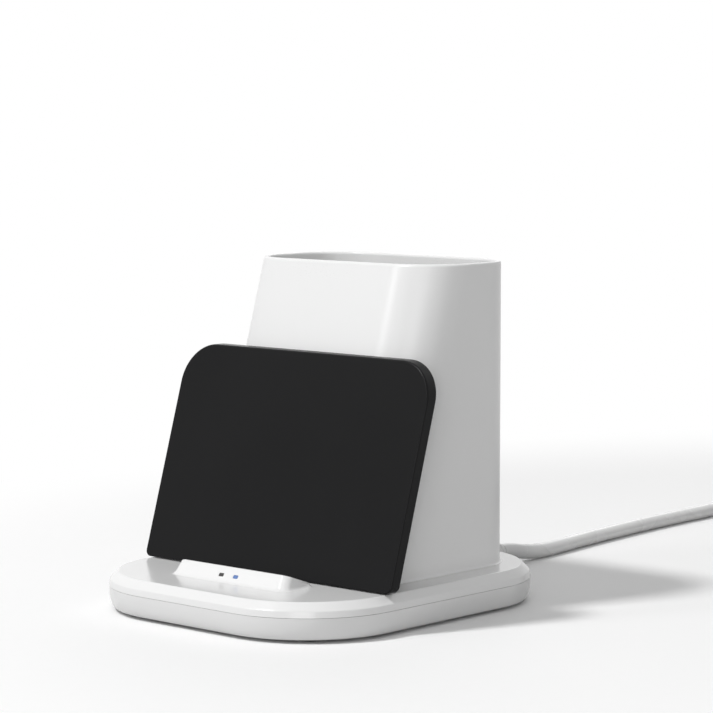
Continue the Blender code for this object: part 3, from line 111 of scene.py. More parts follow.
class Signal:
    """An output of a material's nodes. Arithmetic on it adds Math nodes."""

    def __init__(self, tree, socket=None):
        self.tree = tree
        self.socket = socket

    def node(self, kind, settings=None, sockets=None, output=0):
        """Add any node: its settings first, then the values or links of its sockets."""
        made = self.tree.nodes.new(kind)
        for name, value in (settings or {}).items():
            setattr(made, name, value)
        for name, value in (sockets or {}).items():
            if isinstance(value, Signal):
                self.tree.links.new(value.socket, made.inputs[name])
            else:
                made.inputs[name].default_value = value
        return Signal(self.tree, made.outputs[output])

    def maths(self, operation, *values):
        return self.node("ShaderNodeMath", {"operation": operation}, dict(enumerate(values)))

    def size(self):
        return self.maths("ABSOLUTE", self)

    def __add__(self, other):
        return self.maths("ADD", self, other)

    def __sub__(self, other):
        return self.maths("SUBTRACT", self, other)

    def __rsub__(self, other):
        return self.maths("SUBTRACT", other, self)

    def __mul__(self, other):
        return self.maths("MULTIPLY", self, other)

    __radd__ = __add__
    __rmul__ = __mul__

    def limited(self, low, high):
        """The signal's way from low to high, as 0 to 1."""
        return self.node("ShaderNodeMapRange", {"interpolation_type": "SMOOTHSTEP"},
                         {"Value": self, "From Min": low, "From Max": high})

    def noise(self, scale, detail=3.0, roughness=0.5):
        """Noise of that many patches a metre at this place."""
        return self.node("ShaderNodeTexNoise", {}, {
            "Vector": self, "Scale": scale, "Detail": detail, "Roughness": roughness})

    def cells(self, scale, settings=None, **sockets):
        """Distance to the middle of cells, that many a metre, or what the settings ask."""
        return self.node("ShaderNodeTexVoronoi", settings, {"Vector": self, "Scale": scale, **sockets})

    def vector_maths(self, operation, *others, output=0):
        return self.node("ShaderNodeVectorMath", {"operation": operation},
                         dict(enumerate((self, *others))), output)

    def stretched(self, x, y, z):
        """This place with its axes drawn out or squeezed."""
        return self.vector_maths("MULTIPLY", (x, y, z))

    def x(self):
        """This place's X alone."""
        return self.node("ShaderNodeSeparateXYZ", {}, {0: self}, output="X")

    def blend(self, first, second):
        """From the first colour to the second as the signal goes from 0 to 1."""
        first, second = ((*end, 1) if isinstance(end, tuple) else end for end in (first, second))
        return self.node("ShaderNodeMix", {"data_type": "RGBA"}, {0: self, 6: first, 7: second}, output=2)

    def bump(self, depth):
        """Surface normal of a relief, which is depth metres high where the signal is 1."""
        return self.node("ShaderNodeBump", {}, {"Height": self * depth, "Distance": 1.0})


def new_finish(name, **fixed):
    """A material, its shader with the sockets that are the same all over, and Object coordinates."""
    finish = bpy.data.materials.new(name)
    finish.use_nodes = True
    shader = finish.node_tree.nodes["Principled BSDF"]
    for socket, value in fixed.items():
        shader.inputs[socket.replace("_", " ")].default_value = value
    return finish, shader, Signal(finish.node_tree).node("ShaderNodeTexCoord", output="Object")


def lay_on(shader, **changing):
    """Link what changes over the surface to the shader's sockets."""
    for socket, signal in changing.items():
        signal.tree.links.new(signal.socket, shader.inputs[socket.replace("_", " ")])


sleeve_white, shader, place = new_finish("soft_white_sleeve", Specular_IOR_Level=0.45)
handling = place.noise(55, 4).limited(0.35, 0.7)
pores = place.noise(5200, 2)
lay_on(
    shader,
    Base_Color=handling.blend((0.80, 0.80, 0.795), (0.755, 0.755, 0.755)),
    Roughness=0.2 + 0.1 * handling + 0.04 * pores,
    Normal=pores.bump(0.004 * MM),
)

cable_line = bpy.data.curves.new("cable", "CURVE")
cable_line.dimensions = "3D"
cable_line.bevel_depth = LEAD_RADIUS
cable_line.bevel_resolution = 7
cable_line.resolution_u = 5
cable_line.use_fill_caps = True
spline = cable_line.splines.new("BEZIER")
spline.bezier_points.add(len(lead_route) - 1)
for point, at in zip(spline.bezier_points, lead_route):
    point.co = at
    point.handle_left_type = point.handle_right_type = "AUTO"
cable_line.materials.append(sleeve_white)
cable = bpy.data.objects.new("cable", cable_line)
bpy.context.scene.collection.objects.link(cable)
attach(cable, "root")
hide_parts("charging_lead", "lead_coil", "lead_tail")

# Plugs and their sleeves: flat grips moulded over the ends of the lead, each with a tapered
# sleeve of four ribs that keeps the lead from kinking. Both are the lead's own soft white.
NEAR_HEIGHT = 4.8 * MM
NEAR_GRIP_WIDTH = 11.6 * MM
NEAR_GRIP_THICKNESS = 6.4 * MM
NEAR_GRIP_FRONT = 57.2 * MM
NEAR_GRIP_REAR = 73.7 * MM
FAR_GRIP_WIDTH = 15.6 * MM
FAR_GRIP_THICKNESS = 8.0 * MM
FAR_GRIP_LENGTH = 22.0 * MM
GRIP_EASE = 0.8 * MM
GRIP_ROUND_SHARE = 0.82
NOSE_TAPER = 1.6 * GRIP_EASE
NOSE_LENGTH = 1.8 * GRIP_EASE
SLEEVE_LENGTH = 9.6 * MM
SLEEVE_RADIUS = 2.95 * MM
SLEEVE_TAPER = 0.45 * MM
SLEEVE_ROUND_SHARE = 0.998
RIB = 0.35 * MM
RIBS = 4
RIB_FULLNESS = 0.7
STEPS_PER_RIB = 12
PLUG_GAP = 0.3 * MM
MERGE_WITHIN = MM / 500
SHARP_FROM = math.radians(32)


def outline(mesh, half_width, front, rear, height, front_radius, rear_radius, steps):
    """Level loop of edges: a rectangle with round corners."""
    known = set(mesh.edges)
    plan = ((-half_width, front), (half_width, front), (half_width, rear), (-half_width, rear))
    corners = [mesh.verts.new((x, y, height)) for x, y in plan]
    mesh.faces.new(corners)
    for pair, radius in ((corners[:2], front_radius), (corners[2:], rear_radius)):
        bmesh.ops.bevel(mesh, geom=pair, offset=radius, offset_type="OFFSET", segments=steps,
                        profile=0.5, material=-1, affect="VERTICES")
    edges = [edge for edge in mesh.edges if edge not in known]
    faces = {face for edge in edges for face in edge.link_faces}
    bmesh.ops.delete(mesh, geom=list(faces), context="FACES_ONLY")
    return edges


def skin(mesh, rings, heights, closed=False):
    """Bridge the rings while they stand a metre apart, then bring each to its height."""
    pairs = list(zip(rings, rings[1:]))
    if closed:
        pairs.append((rings[-1], rings[0]))
    else:
        for ring in (rings[0], rings[-1]):
            bmesh.ops.contextual_create(mesh, geom=ring)
    for first, second in pairs:
        bmesh.ops.bridge_loops(mesh, edges=first + second)
    for ring, height in zip(rings, heights):
        for vert in {vert for edge in ring for vert in edge.verts}:
            vert.co.z = height
    bmesh.ops.recalc_face_normals(mesh, faces=mesh.faces)
    return mesh


def loft(loops, steps, closed=False):
    """Skin over level loops, each a half-width, front, rear, height and one or two corner radii."""
    mesh = bmesh.new()
    rings = [
        outline(mesh, half_width, front, rear, index, radii[0], radii[-1], steps)
        for index, (half_width, front, rear, _, *radii) in enumerate(loops)
    ]
    return skin(mesh, rings, [loop[3] for loop in loops], closed)


def dress(name, mesh, finish, slot, *solids):
    """Make the mesh a piece that rides on the stand and stands for the solids named."""
    bmesh.ops.remove_doubles(mesh, verts=mesh.verts, dist=MERGE_WITHIN)
    bmesh.ops.recalc_face_normals(mesh, faces=mesh.faces)
    for face in mesh.faces:
        face.smooth = True
    for edge in mesh.edges:
        edge.smooth = edge.calc_face_angle(0) < SHARP_FROM
    data = bpy.data.meshes.new(name)
    mesh.to_mesh(data)
    mesh.free()
    data.materials.append(finish)
    item = bpy.data.objects.new(name, data)
    bpy.context.scene.collection.objects.link(item)
    item.modifiers.new("even_normals", "WEIGHTED_NORMAL").keep_sharp = True
    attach(item, "root")
    if solids:
        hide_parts(*solids)
    return item


def upended(mesh, x, height):
    """Turn a loft made over the origin so that its height runs along +Y."""
    mesh.transform(Matrix(((1, 0, 0, x), (0, 0, 1, 0), (0, 1, 0, height), (0, 0, 0, 1))))
    return mesh


def rounding(steps):
    """Edge rounded with a radius of 1: how far in from the side, and from the end, it runs."""
    angles = (math.pi / 2 * step / steps for step in range(steps + 1))
    return [(1 - math.sin(angle), 1 - math.cos(angle)) for angle in angles]


def grip(width, thickness, start, end, x, height):
    """Flat grip along Y with eased ends."""
    toward = math.copysign(1, end - start)
    stations = [(GRIP_EASE * inward, start + toward * GRIP_EASE * along) for inward, along in rounding(4)]
    stations += [(NOSE_TAPER * along, end - toward * NOSE_LENGTH * inward) for inward, along in rounding(5)]
    loops = []
    for inset, y in stations:
        half = thickness / 2 - inset
        loops.append((width / 2 - inset, -half, half, y, half * GRIP_ROUND_SHARE))
    return upended(loft(loops, 8), x, height)


def sleeve(start, x, height):
    """Tapered sleeve along Y with round ribs."""
    steps = RIBS * STEPS_PER_RIB
    loops = []
    for step in range(steps + 1):
        share = step / steps
        rib = max(0, math.sin(math.tau * (share * RIBS - 0.25))) ** RIB_FULLNESS
        radius = SLEEVE_RADIUS - SLEEVE_TAPER * share + RIB * rib
        y = start + SLEEVE_LENGTH * share
        loops.append((radius, -radius, radius, y, radius * SLEEVE_ROUND_SHARE))
    return upended(loft(loops, 6), x, height)


near_grip = dress(
    "plug_grip",
    grip(NEAR_GRIP_WIDTH, NEAR_GRIP_THICKNESS, NEAR_GRIP_FRONT, NEAR_GRIP_REAR, 0, NEAR_HEIGHT),
    sleeve_white, "lead_white", "lead_plug_body",
)
near_sleeve = dress("plug_sleeve", sleeve(NEAR_GRIP_REAR + PLUG_GAP, 0, NEAR_HEIGHT),
                    sleeve_white, "lead_white", "lead_strain_relief")
far_sleeve_start = far_y - PLUG_GAP - SLEEVE_LENGTH
far_grip_rear = far_sleeve_start - PLUG_GAP
far_grip_front = far_grip_rear - FAR_GRIP_LENGTH
far_sleeve = dress("far_sleeve", sleeve(far_sleeve_start, far_x, FAR_HEIGHT),
                   sleeve_white, "lead_white", "far_strain_relief")
far_grip = dress(
    "far_grip",
    grip(FAR_GRIP_WIDTH, FAR_GRIP_THICKNESS, far_grip_rear, far_grip_front, far_x, FAR_HEIGHT),
    sleeve_white, "lead_white", "far_plug_body",
)

# Plated steel of the plugs' shells, the socket and every screw: drawn and tumbled, so it has
# fine lines along its length and a slightly uneven shine. The far plug's shell is folded from
# strip, with two square catches through its top and its underside.
SHELL_HALF_WIDTH = 6.0 * MM
SHELL_HALF_HEIGHT = 2.25 * MM
SHELL_LENGTH = 12.0 * MM
SHELL_WALL = 0.4 * MM
SHELL_CORNER = 0.6 * MM
SHELL_LEAST_CORNER = 0.2 * MM
SHELL_LIP = ((0, 0.25), (0.08, 0.06), (0.2, 0), (0.32, 0.06), (0.4, 0.25))
CATCH_HALF_WIDTH = 1.15 * MM
CATCH_HALF_LENGTH = 1.2 * MM
CATCH_CORNER = 0.3 * MM
CATCH_REACH = 3.0 * MM
CATCH_SETBACK = 5.4 * MM
CATCH_FROM_MIDDLE = 2.7 * MM


def refinish(finish, *names):
    """Give solids that stay as they are their real surface."""
    for name in names:
        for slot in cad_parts[name].material_slots:
            slot.material = finish


def combine(mesh, tools, operation="DIFFERENCE"):
    """Cut closed shapes out of a closed mesh, or join them to it."""
    shapes = []
    for part in (mesh, *tools):
        bmesh.ops.recalc_face_normals(part, faces=part.faces)
        data = bpy.data.meshes.new("shape")
        part.to_mesh(data)
        part.free()
        shapes.append(bpy.data.objects.new("shape", data))
        bpy.context.scene.collection.objects.link(shapes[-1])
    for tool in shapes[1:]:
        step = shapes[0].modifiers.new("step", "BOOLEAN")
        step.object, step.operation, step.solver = tool, operation, "EXACT"
    ready = shapes[0].evaluated_get(bpy.context.evaluated_depsgraph_get())
    result = bmesh.new()
    result.from_mesh(ready.to_mesh())
    ready.to_mesh_clear()
    for shape in shapes:
        bpy.data.objects.remove(shape, do_unlink=True)
    return result


plated_steel, shader, place = new_finish("plated_steel", Metallic=1.0)
tarnish = place.noise(420, 4).limited(0.3, 0.75)
drawn = place.stretched(9000, 500, 9000).noise(1, 2)
lay_on(
    shader,
    Base_Color=tarnish.blend((0.66, 0.655, 0.63), (0.55, 0.545, 0.53)),
    Roughness=0.22 + 0.14 * tarnish + 0.08 * drawn,
    Normal=drawn.bump(0.006 * MM),
)
refinish(
    plated_steel, "lead_plug_tip", "usb_socket", "lamp_board_screw_1", "lamp_board_screw_2",
    *(f"{kind}_screw_{number}" for kind in ("board", "cup") for number in range(1, 5)),
)
shell_rear = far_grip_front - PLUG_GAP
shell_mouth = shell_rear - SHELL_LENGTH
shell_section = [
    (0, shell_rear),
    *((inset * MM, shell_mouth + setback * MM) for inset, setback in SHELL_LIP),
    (SHELL_WALL, shell_rear - SHELL_WALL),
]
far_shell = upended(loft([
    (SHELL_HALF_WIDTH - inset, inset - SHELL_HALF_HEIGHT, SHELL_HALF_HEIGHT - inset, y,
     max(SHELL_CORNER - inset, SHELL_LEAST_CORNER))
    for inset, y in shell_section
], 6), far_x, FAR_HEIGHT)
catches = []
for side in (-CATCH_FROM_MIDDLE, CATCH_FROM_MIDDLE):
    catch = loft([
        (CATCH_HALF_WIDTH, -CATCH_HALF_LENGTH, CATCH_HALF_LENGTH, height, CATCH_CORNER)
        for height in (-CATCH_REACH, CATCH_REACH)
    ], 4)
    catch.transform(Matrix.Translation((far_x + side, shell_mouth + CATCH_SETBACK, FAR_HEIGHT)))
    catches.append(catch)
far_shell = dress("far_shell", combine(far_shell, catches), plated_steel, "plated_steel", "far_plug_tip")

# Contact tongues of the far plug and the socket: stiff black plastic with gilt contacts let into
# it, four broad ones in the plug and a row of fine ones in the socket.
def broad_contacts(across):
    """Four contacts 1.1 mm broad, two on either side of the far plug's middle."""
    beside = (((across - far_x).size() - 2.25 * MM).size() - 1.25 * MM).size()
    return 1 - beside.limited(0.55 * MM, 0.62 * MM)


def fine_contacts(across):
    """A row of contacts 0.5 mm apart, along the middle of the socket."""
    rows = across.maths("SINE", across * (math.tau / (0.5 * MM))).limited(-0.1, 0.25)
    return rows * (1 - across.size().limited(2.7 * MM, 2.8 * MM))


def tongue(name, contacts, relief):
    """Finish of a tongue: gilt on its contacts, black plastic between them."""
    finish, shader, place = new_finish(name, Specular_IOR_Level=0.45)
    contact = contacts(place.x())
    rubbed = place.stretched(5000, 300, 5000).noise(1, 3)
    gilt = rubbed.blend((0.86, 0.6, 0.22), (0.74, 0.53, 0.24))
    lay_on(
        shader,
        Base_Color=contact.blend((0.014, 0.014, 0.015), gilt),
        Metallic=contact,
        Roughness=0.46 - 0.22 * contact + 0.12 * rubbed,
        Normal=(contact + 0.1 * rubbed).bump(relief),
    )
    return finish


refinish(tongue("far_tongue", broad_contacts, 0.05 * MM), "far_plug_tongue")
refinish(tongue("socket_tongue", fine_contacts, 0.02 * MM), "usb_socket_tongue")

# Ties: two short straps of black hook-and-loop tape round the coil, at its rear and its front,
# each with its looser end laid back over the top. The tape is woven, with a nap of fine loops.
STRAP_WIDTH = 6.0 * MM
STRAP_THICKNESS = 0.9 * MM
STRAP_FOOT = 0.9 * MM
STRAP_TOP = 11.6 * MM
STRAP_CORNER = 1.3 * MM
STRAP_EDGE = 0.3 * MM
LOOSE_END_SHARES = (0.7, 0.75)
LOOSE_END_STEPS = ((0, 0.5), (0, 1.5), (0.2, 1.7))
LOOSE_END_CORNERS = (0.6 * MM, 1.6 * MM)
BUNDLE_ROOM = LEAD_RADIUS + 0.5 * MM

hook_and_loop, shader, place = new_finish("hook_and_loop", Specular_IOR_Level=0.2, Sheen_Weight=0.35)
nap = place.noise(3800, 4, 0.8)
weave = place.cells(1500, {"distance": "MANHATTAN"})
lint = place.noise(500, 3).limited(0.55, 0.75)
lay_on(
    shader,
    Base_Color=(0.7 * lint + 0.3 * nap).blend((0.012, 0.012, 0.013), (0.045, 0.045, 0.048)),
    Roughness=0.72 + 0.2 * nap,
    Normal=(0.6 * weave + 0.4 * nap).bump(0.08 * MM),
)


def strap(angle, first_turn, last_turn):
    """Flat band round some of the coil's turns at an angle, with its loose end on top."""
    inner = COIL_INNER_RADIUS + first_turn * COIL_PITCH - BUNDLE_ROOM
    outer = COIL_INNER_RADIUS + last_turn * COIL_PITCH + BUNDLE_ROOM
    section = []
    for side, layer, start in ((1, 1, 0), (-1, 1, 1), (-1, 0, 2), (1, 0, 3)):
        for step in range(4):
            turn = math.pi / 2 * (start + step / 3)
            section.append((
                STRAP_EDGE + layer * (STRAP_THICKNESS - 2 * STRAP_EDGE) + STRAP_EDGE * math.sin(turn),
                side * (STRAP_WIDTH / 2 - STRAP_EDGE) + STRAP_EDGE * math.cos(turn),
            ))
    half = (outer - inner) / 2
    band = loft([
        (half + grown, STRAP_FOOT - grown, STRAP_TOP + grown, along, STRAP_CORNER + grown)
        for grown, along in section
    ], 8, closed=True)
    front, rear = (half * share for share in LOOSE_END_SHARES)
    front_corner, rear_corner = LOOSE_END_CORNERS
    end = loft([
        (STRAP_WIDTH / 2 - inset * MM, -front, rear - inset * MM, STRAP_TOP + rise * MM,
         front_corner, rear_corner - inset * MM)
        for inset, rise in LOOSE_END_STEPS
    ], 6)
    end.transform(Matrix(((0, 1, 0, 0), (0, 0, 1, 0), (1, 0, 0, 0), (0, 0, 0, 1))))
    band = combine(band, [end], "UNION")
    outward = Vector((math.cos(angle), math.sin(angle), 0))
    forward = Vector((-math.sin(angle), math.cos(angle), 0))
    middle = COIL_MIDDLE + outward * (inner + outer) / 2
    band.transform(Matrix((
        (outward.x, 0, forward.x, middle.x), (outward.y, 0, forward.y, middle.y), (0, 1, 0, 0), (0, 0, 0, 1),
    )))
    return band


straps = [
    dress("strap_1", strap(math.pi / 2, 0, 2), hook_and_loop, "chip_black", "lead_tie_1"),
    dress("strap_2", strap(-math.pi / 2, 0.5, 1.5), hook_and_loop, "chip_black", "lead_tie_2"),
]

# Base tray: the lower half of the base, injection moulded in gloss white. Its side draws in to
# the feet, its rim enters the cover, and four posts take the screws that hold the two together.
BASE_HALF_WIDTH = 49.6 * MM
BASE_HALF_DEPTH = 56.7 * MM
BASE_CORNER = 30.8 * MM
TRAY_BOTTOM = 1.0 * MM
TRAY_TOP = 7.24 * MM
TRAY_DRAW_IN = 1.6 * MM
TRAY_RIM = ((1.25, 8.25), (2.2, 8.25))
TRAY_INSIDE = ((2.2, 4.2), (2.7, 3.0), (3.8, 2.6))
TRAY_POST = (4.0 * MM, 2.0 * MM, 5.0 * MM)
SCREW_HOLE = ((2.5, -1.0), (2.5, 3.2), (1.4, 3.2), (1.4, 7.0))
FOOT_SEAT = (6.3 * MM, -1.0 * MM, 1.8 * MM)
PORT_HALF_WIDTH = 5.0 * MM
PORT_HALF_HEIGHT = 2.0 * MM
PORT_CORNER = 1.9 * MM
PORT_ENDS = (49.0 * MM, 58.4 * MM)
BASE_SCREWS = [(x * MM, y * MM) for y in (-18, 18) for x in (-40, 40)]
FEET = [(x * MM, y * MM) for y in (-40.1, 40.1) for x in (-33, 33)]


def base_loop(inset, height):
    """The base's outline, drawn in by the inset."""
    depth = BASE_HALF_DEPTH - inset
    return BASE_HALF_WIDTH - inset, -depth, depth, height, BASE_CORNER - inset


def pin(centre, profile, sides=32):
    """Round solid on an upright axis, through pairs of radius and height."""
    mesh = bmesh.new()
    rings = []
    for index, (radius, _) in enumerate(profile):
        at = Matrix.Translation((*centre, index))
        ring = bmesh.ops.create_circle(mesh, segments=sides, radius=radius, matrix=at)["verts"]
        rings.append(list({edge for vert in ring for edge in vert.link_edges}))
    return skin(mesh, rings, [height for _, height in profile])


def posts(places, radius, low, high, sides=32):
    """Plain round posts at the places, from a low to a high end, which also serve to bore holes."""
    return [pin(at, ((radius, low), (radius, high)), sides) for at in places]


gloss_white, shader, place = new_finish("gloss_white", Specular_IOR_Level=0.4)
flow = place.noise(18, 2, 0.3)
specks = place.noise(2600, 3)
orange_peel = place.noise(500, 1)
lay_on(
    shader,
    Base_Color=(0.6 * flow + 0.4 * specks).blend((0.828, 0.828, 0.826), (0.814, 0.815, 0.814)),
    Roughness=0.15 + 0.04 * flow + 0.02 * specks,
    Normal=orange_peel.bump(0.0005 * MM),
)

side_height = TRAY_TOP - TRAY_BOTTOM
tray_section = [
    (TRAY_DRAW_IN * inward, TRAY_BOTTOM + side_height * along) for inward, along in rounding(10)
]
tray_section.append((TRAY_RIM[0][0] * MM, TRAY_TOP))
tray_section += [(inset * MM, height * MM) for inset, height in TRAY_RIM + TRAY_INSIDE]
tray = loft([base_loop(inset, height) for inset, height in tray_section], 24)
tray = combine(tray, posts(BASE_SCREWS, *TRAY_POST), "UNION")
screw_hole = [(radius * MM, height * MM) for radius, height in SCREW_HOLE]
port = loft([(PORT_HALF_WIDTH, -PORT_HALF_HEIGHT, PORT_HALF_HEIGHT, y, PORT_CORNER) for y in PORT_ENDS], 8)
tray = combine(tray, [
    *(pin(at, screw_hole) for at in BASE_SCREWS),
    *posts(FEET, *FOOT_SEAT, sides=48),
    upended(port, 0, NEAR_HEIGHT),
])
dress("tray", tray, gloss_white, "base_white", "base_bottom_shell")

# Base screws: four plated self-tapping screws with crowned heads and cross recesses, driven up
# through the tray's posts into the cover.
CROWN_SHARE = 0.55
CROWN_FROM_DEGREES = 30
THREAD_PITCH_SHARE = 0.7
THREAD_ROOT_SHARE = 0.8
RECESS_MOUTH_SHARES = (0.62, 0.16)
RECESS_FLOOR_SHARES = (0.5, 0.12)


def screw(at, head_radius, head_end, neck, shank_radius, tip):
    """Threaded shank with a crowned head, in which a cross is sunk."""
    toward = math.copysign(1, neck - head_end)
    head = neck - head_end
    profile = []
    for angle in range(CROWN_FROM_DEGREES, 91, 15):
        fall = 1 - math.cos(math.radians(angle - CROWN_FROM_DEGREES) * 1.5)
        profile.append((head_radius * math.sin(math.radians(angle)), head_end + head * CROWN_SHARE * fall))
    profile += [(head_radius, neck - 0.1 * head), (head_radius * 0.94, neck), (shank_radius * 0.9, neck)]
    pitch = THREAD_PITCH_SHARE * shank_radius
    turns = int((abs(tip - neck) - shank_radius) / pitch)
    for turn in range(turns):
        start = neck + toward * pitch * (turn + 0.3)
        profile += [(shank_radius * THREAD_ROOT_SHARE, start), (shank_radius, start + toward * pitch * 0.5)]
    profile += [(shank_radius * 0.75, tip - toward * 0.6 * shank_radius), (shank_radius * 0.3, tip)]
    mesh = pin(at, profile, 24)
    mouth = (*RECESS_MOUTH_SHARES, head_end - head)
    bottom = (*RECESS_FLOOR_SHARES, head_end + head * CROWN_SHARE)
    recess = []
    for turned in (0, math.pi / 2):
        loops = []
        for reach, breadth, depth in (mouth, bottom):
            half = breadth * head_radius
            loops.append((reach * head_radius, -half, half, depth, half * 0.9))
        slot = loft(loops, 3)
        slot.transform(Matrix.Translation((*at, 0)) @ Matrix.Rotation(turned, 4, "Z"))
        recess.append(slot)
    return combine(mesh, recess)


for number, at in enumerate(BASE_SCREWS, start=1):
    long = screw(at, head_radius=2.2 * MM, head_end=1.7 * MM, neck=2.9 * MM,
                 shank_radius=1.1 * MM, tip=9.6 * MM)
    dress(f"tray_screw_{number}", long, plated_steel, "plated_steel", f"base_screw_{number}")

# Rubber feet: four soft discs with eased edges, stamped from black rubber sheet. Each is glued
# into a round seat under the tray and stands a millimetre out of it.
FOOT_PROFILE = ((4.6, 0.12), (4.9, 0), (5.6, 0), (5.88, 0.12), (6.0, 0.4), (6.0, 1.5))

foot_rubber, shader, place = new_finish("foot_rubber", Specular_IOR_Level=0.3)
dust = place.noise(900, 5, 0.7).limited(0.42, 0.7)
lay_on(
    shader,
    Base_Color=dust.blend((0.045, 0.045, 0.046), (0.085, 0.083, 0.08)),
    Roughness=0.72 + 0.2 * dust,
    Normal=dust.bump(0.03 * MM),
)
for number, at in enumerate(FEET, start=1):
    disc = pin(at, [(radius * MM, height * MM) for radius, height in FOOT_PROFILE], 48)
    dress(f"foot_{number}", disc, foot_rubber, "foot_rubber", f"rubber_foot_{number}")

# Boards: the main one under the cup and a small one for the lamps, both of glass fibre in green
# varnish, with the copper tracks showing through it and tinned vias.
solder_mask, shader, place = new_finish("solder_mask", Specular_IOR_Level=0.5)
tracks_along = place.stretched(180, 2600, 300).noise(1, 1).limited(0.52, 0.545)
tracks_across = place.stretched(2600, 180, 300).noise(1, 1).limited(0.55, 0.575)
tracks = tracks_along.maths("MAXIMUM", tracks_along, tracks_across)
via = place.cells(420, Randomness=0.6)
tinned = 1 - via.limited(0.13, 0.16)
weave = place.noise(2400, 2)
mask = tracks.blend((0.008, 0.075, 0.035), (0.018, 0.15, 0.06))
lay_on(
    shader,
    Base_Color=tinned.blend(mask, weave.blend((0.6, 0.6, 0.58), (0.72, 0.72, 0.7))),
    Metallic=tinned,
    Roughness=0.34 - 0.06 * tracks + 0.12 * weave,
    Normal=(0.6 * tracks + 0.3 * tinned + 0.1 * weave).bump(0.05 * MM),
)
refinish(solder_mask, "main_board", "lamp_board")

# Chips: the charging controller and the bridge that drives the coil, in black moulding compound
# with the sparkle of its filler and a slightly rough skin.
moulding_compound, shader, place = new_finish("moulding_compound", Specular_IOR_Level=0.4)
filler = place.noise(9000, 3, 0.8)
skin_flow = place.noise(600, 3).limited(0.3, 0.7)
lay_on(
    shader,
    Base_Color=(0.6 * filler + 0.4 * skin_flow).blend((0.012, 0.012, 0.013), (0.034, 0.034, 0.036)),
    Roughness=0.42 + 0.2 * filler + 0.08 * skin_flow,
    Normal=filler.bump(0.01 * MM),
)
refinish(moulding_compound, "control_chip", "bridge_chip")

# Sintered ferrite: the power inductor's pressed block and the sheet behind the charging coil,
# dark grey ceramic with fine grain, paler where it is rubbed, and hairline cracks.
sintered_ferrite, shader, place = new_finish("sintered_ferrite", Specular_IOR_Level=0.4)
grain = place.noise(4200, 4, 0.7)
rubbed = place.noise(180, 4).limited(0.45, 0.75)
border = place.cells(190, {"feature": "DISTANCE_TO_EDGE"})
crack = 1 - border.limited(0.0, 0.012)
dull = (0.6 * grain + 0.4 * rubbed).blend((0.045, 0.045, 0.048), (0.10, 0.10, 0.105))
lay_on(
    shader,
    Base_Color=crack.blend(dull, (0.018, 0.018, 0.019)),
    Roughness=0.5 + 0.25 * grain - 0.1 * rubbed,
    Normal=(0.4 * grain - crack).bump(0.02 * MM),
)
refinish(sintered_ferrite, "power_inductor", "ferrite_sheet")

# Resonant capacitors: two blocks of brown fired ceramic side by side, each with a tinned cap at
# both ends, by which it is soldered to the main board.
ceramic_block, shader, place = new_finish("ceramic_block", Specular_IOR_Level=0.45)
cap = ((place.x() - 5.0 * MM).size() - 3.5 * MM).size().limited(1.9 * MM, 2.0 * MM)
solder = place.noise(1400, 3)
fired = place.noise(2600, 4)
ceramic = fired.blend((0.33, 0.2, 0.1), (0.46, 0.31, 0.17))
tin = solder.blend((0.7, 0.7, 0.69), (0.56, 0.56, 0.55))
lay_on(
    shader,
    Base_Color=cap.blend(ceramic, tin),
    Metallic=cap,
    Roughness=0.42 + 0.14 * fired + 0.1 * solder,
    Normal=(cap + 0.2 * solder + 0.1 * fired).bump(0.03 * MM),
)
refinish(ceramic_block, "resonant_capacitor_1", "resonant_capacitor_2")

# Ribbon between the boards: a flat cable of four tinned conductors, pressed between two layers
# of pale flexible film.
ribbon_film, shader, place = new_finish("ribbon_film", Specular_IOR_Level=0.5)
wave = (place.x() - 0.5 * MM) * (math.tau / MM)
conductor = wave.maths("COSINE", wave).limited(0.2, 0.6)
film = place.noise(1200, 3)
lay_on(
    shader,
    Base_Color=conductor.blend(film.blend((0.66, 0.65, 0.6), (0.74, 0.73, 0.69)), (0.46, 0.43, 0.37)),
    Roughness=0.3 + 0.15 * film,
    Normal=(conductor + 0.15 * film).bump(0.06 * MM),
)
refinish(ribbon_film, "lamp_ribbon")

# Lamps: two surface-mounted diodes, each a pale ceramic case round a tinted lens, red on the left
# and blue on the right, of which the blue one is alight.
WINDOW_FROM_MIDDLE = 2.85 * MM
LAMP_ROW = -33.0 * MM
LENS_HEIGHT = 8.1 * MM


def diode(name, middle, dark, bright, glow):
    """Finish of a lamp: a lens in the middle of its case."""
    finish, shader, place = new_finish(name, Specular_IOR_Level=0.5, Emission_Strength=glow)
    from_middle = place.vector_maths("DISTANCE", (middle, LAMP_ROW, LENS_HEIGHT), output="Value")
    lens = 1 - from_middle.limited(0.42 * MM, 0.5 * MM)
    fired = place.noise(5000, 3)
    case = fired.blend((0.78, 0.77, 0.73), (0.7, 0.69, 0.65))
    lay_on(
        shader,
        Base_Color=lens.blend(case, fired.blend(dark, bright)),
        Roughness=0.5 - 0.3 * lens + 0.1 * fired,
        Emission_Color=lens.blend((0.0, 0.0, 0.0), bright),
        Normal=(0.2 * fired - lens).bump(0.03 * MM),
    )
    return finish


red_diode = diode("red_diode", -WINDOW_FROM_MIDDLE, (0.32, 0.02, 0.02), (0.55, 0.05, 0.04), 0.0)
refinish(red_diode, "standby_lamp")
blue_diode = diode("blue_diode", WINDOW_FROM_MIDDLE, (0.03, 0.1, 0.5), (0.08, 0.25, 1.0), 1.0)
refinish(blue_diode, "charging_lamp")

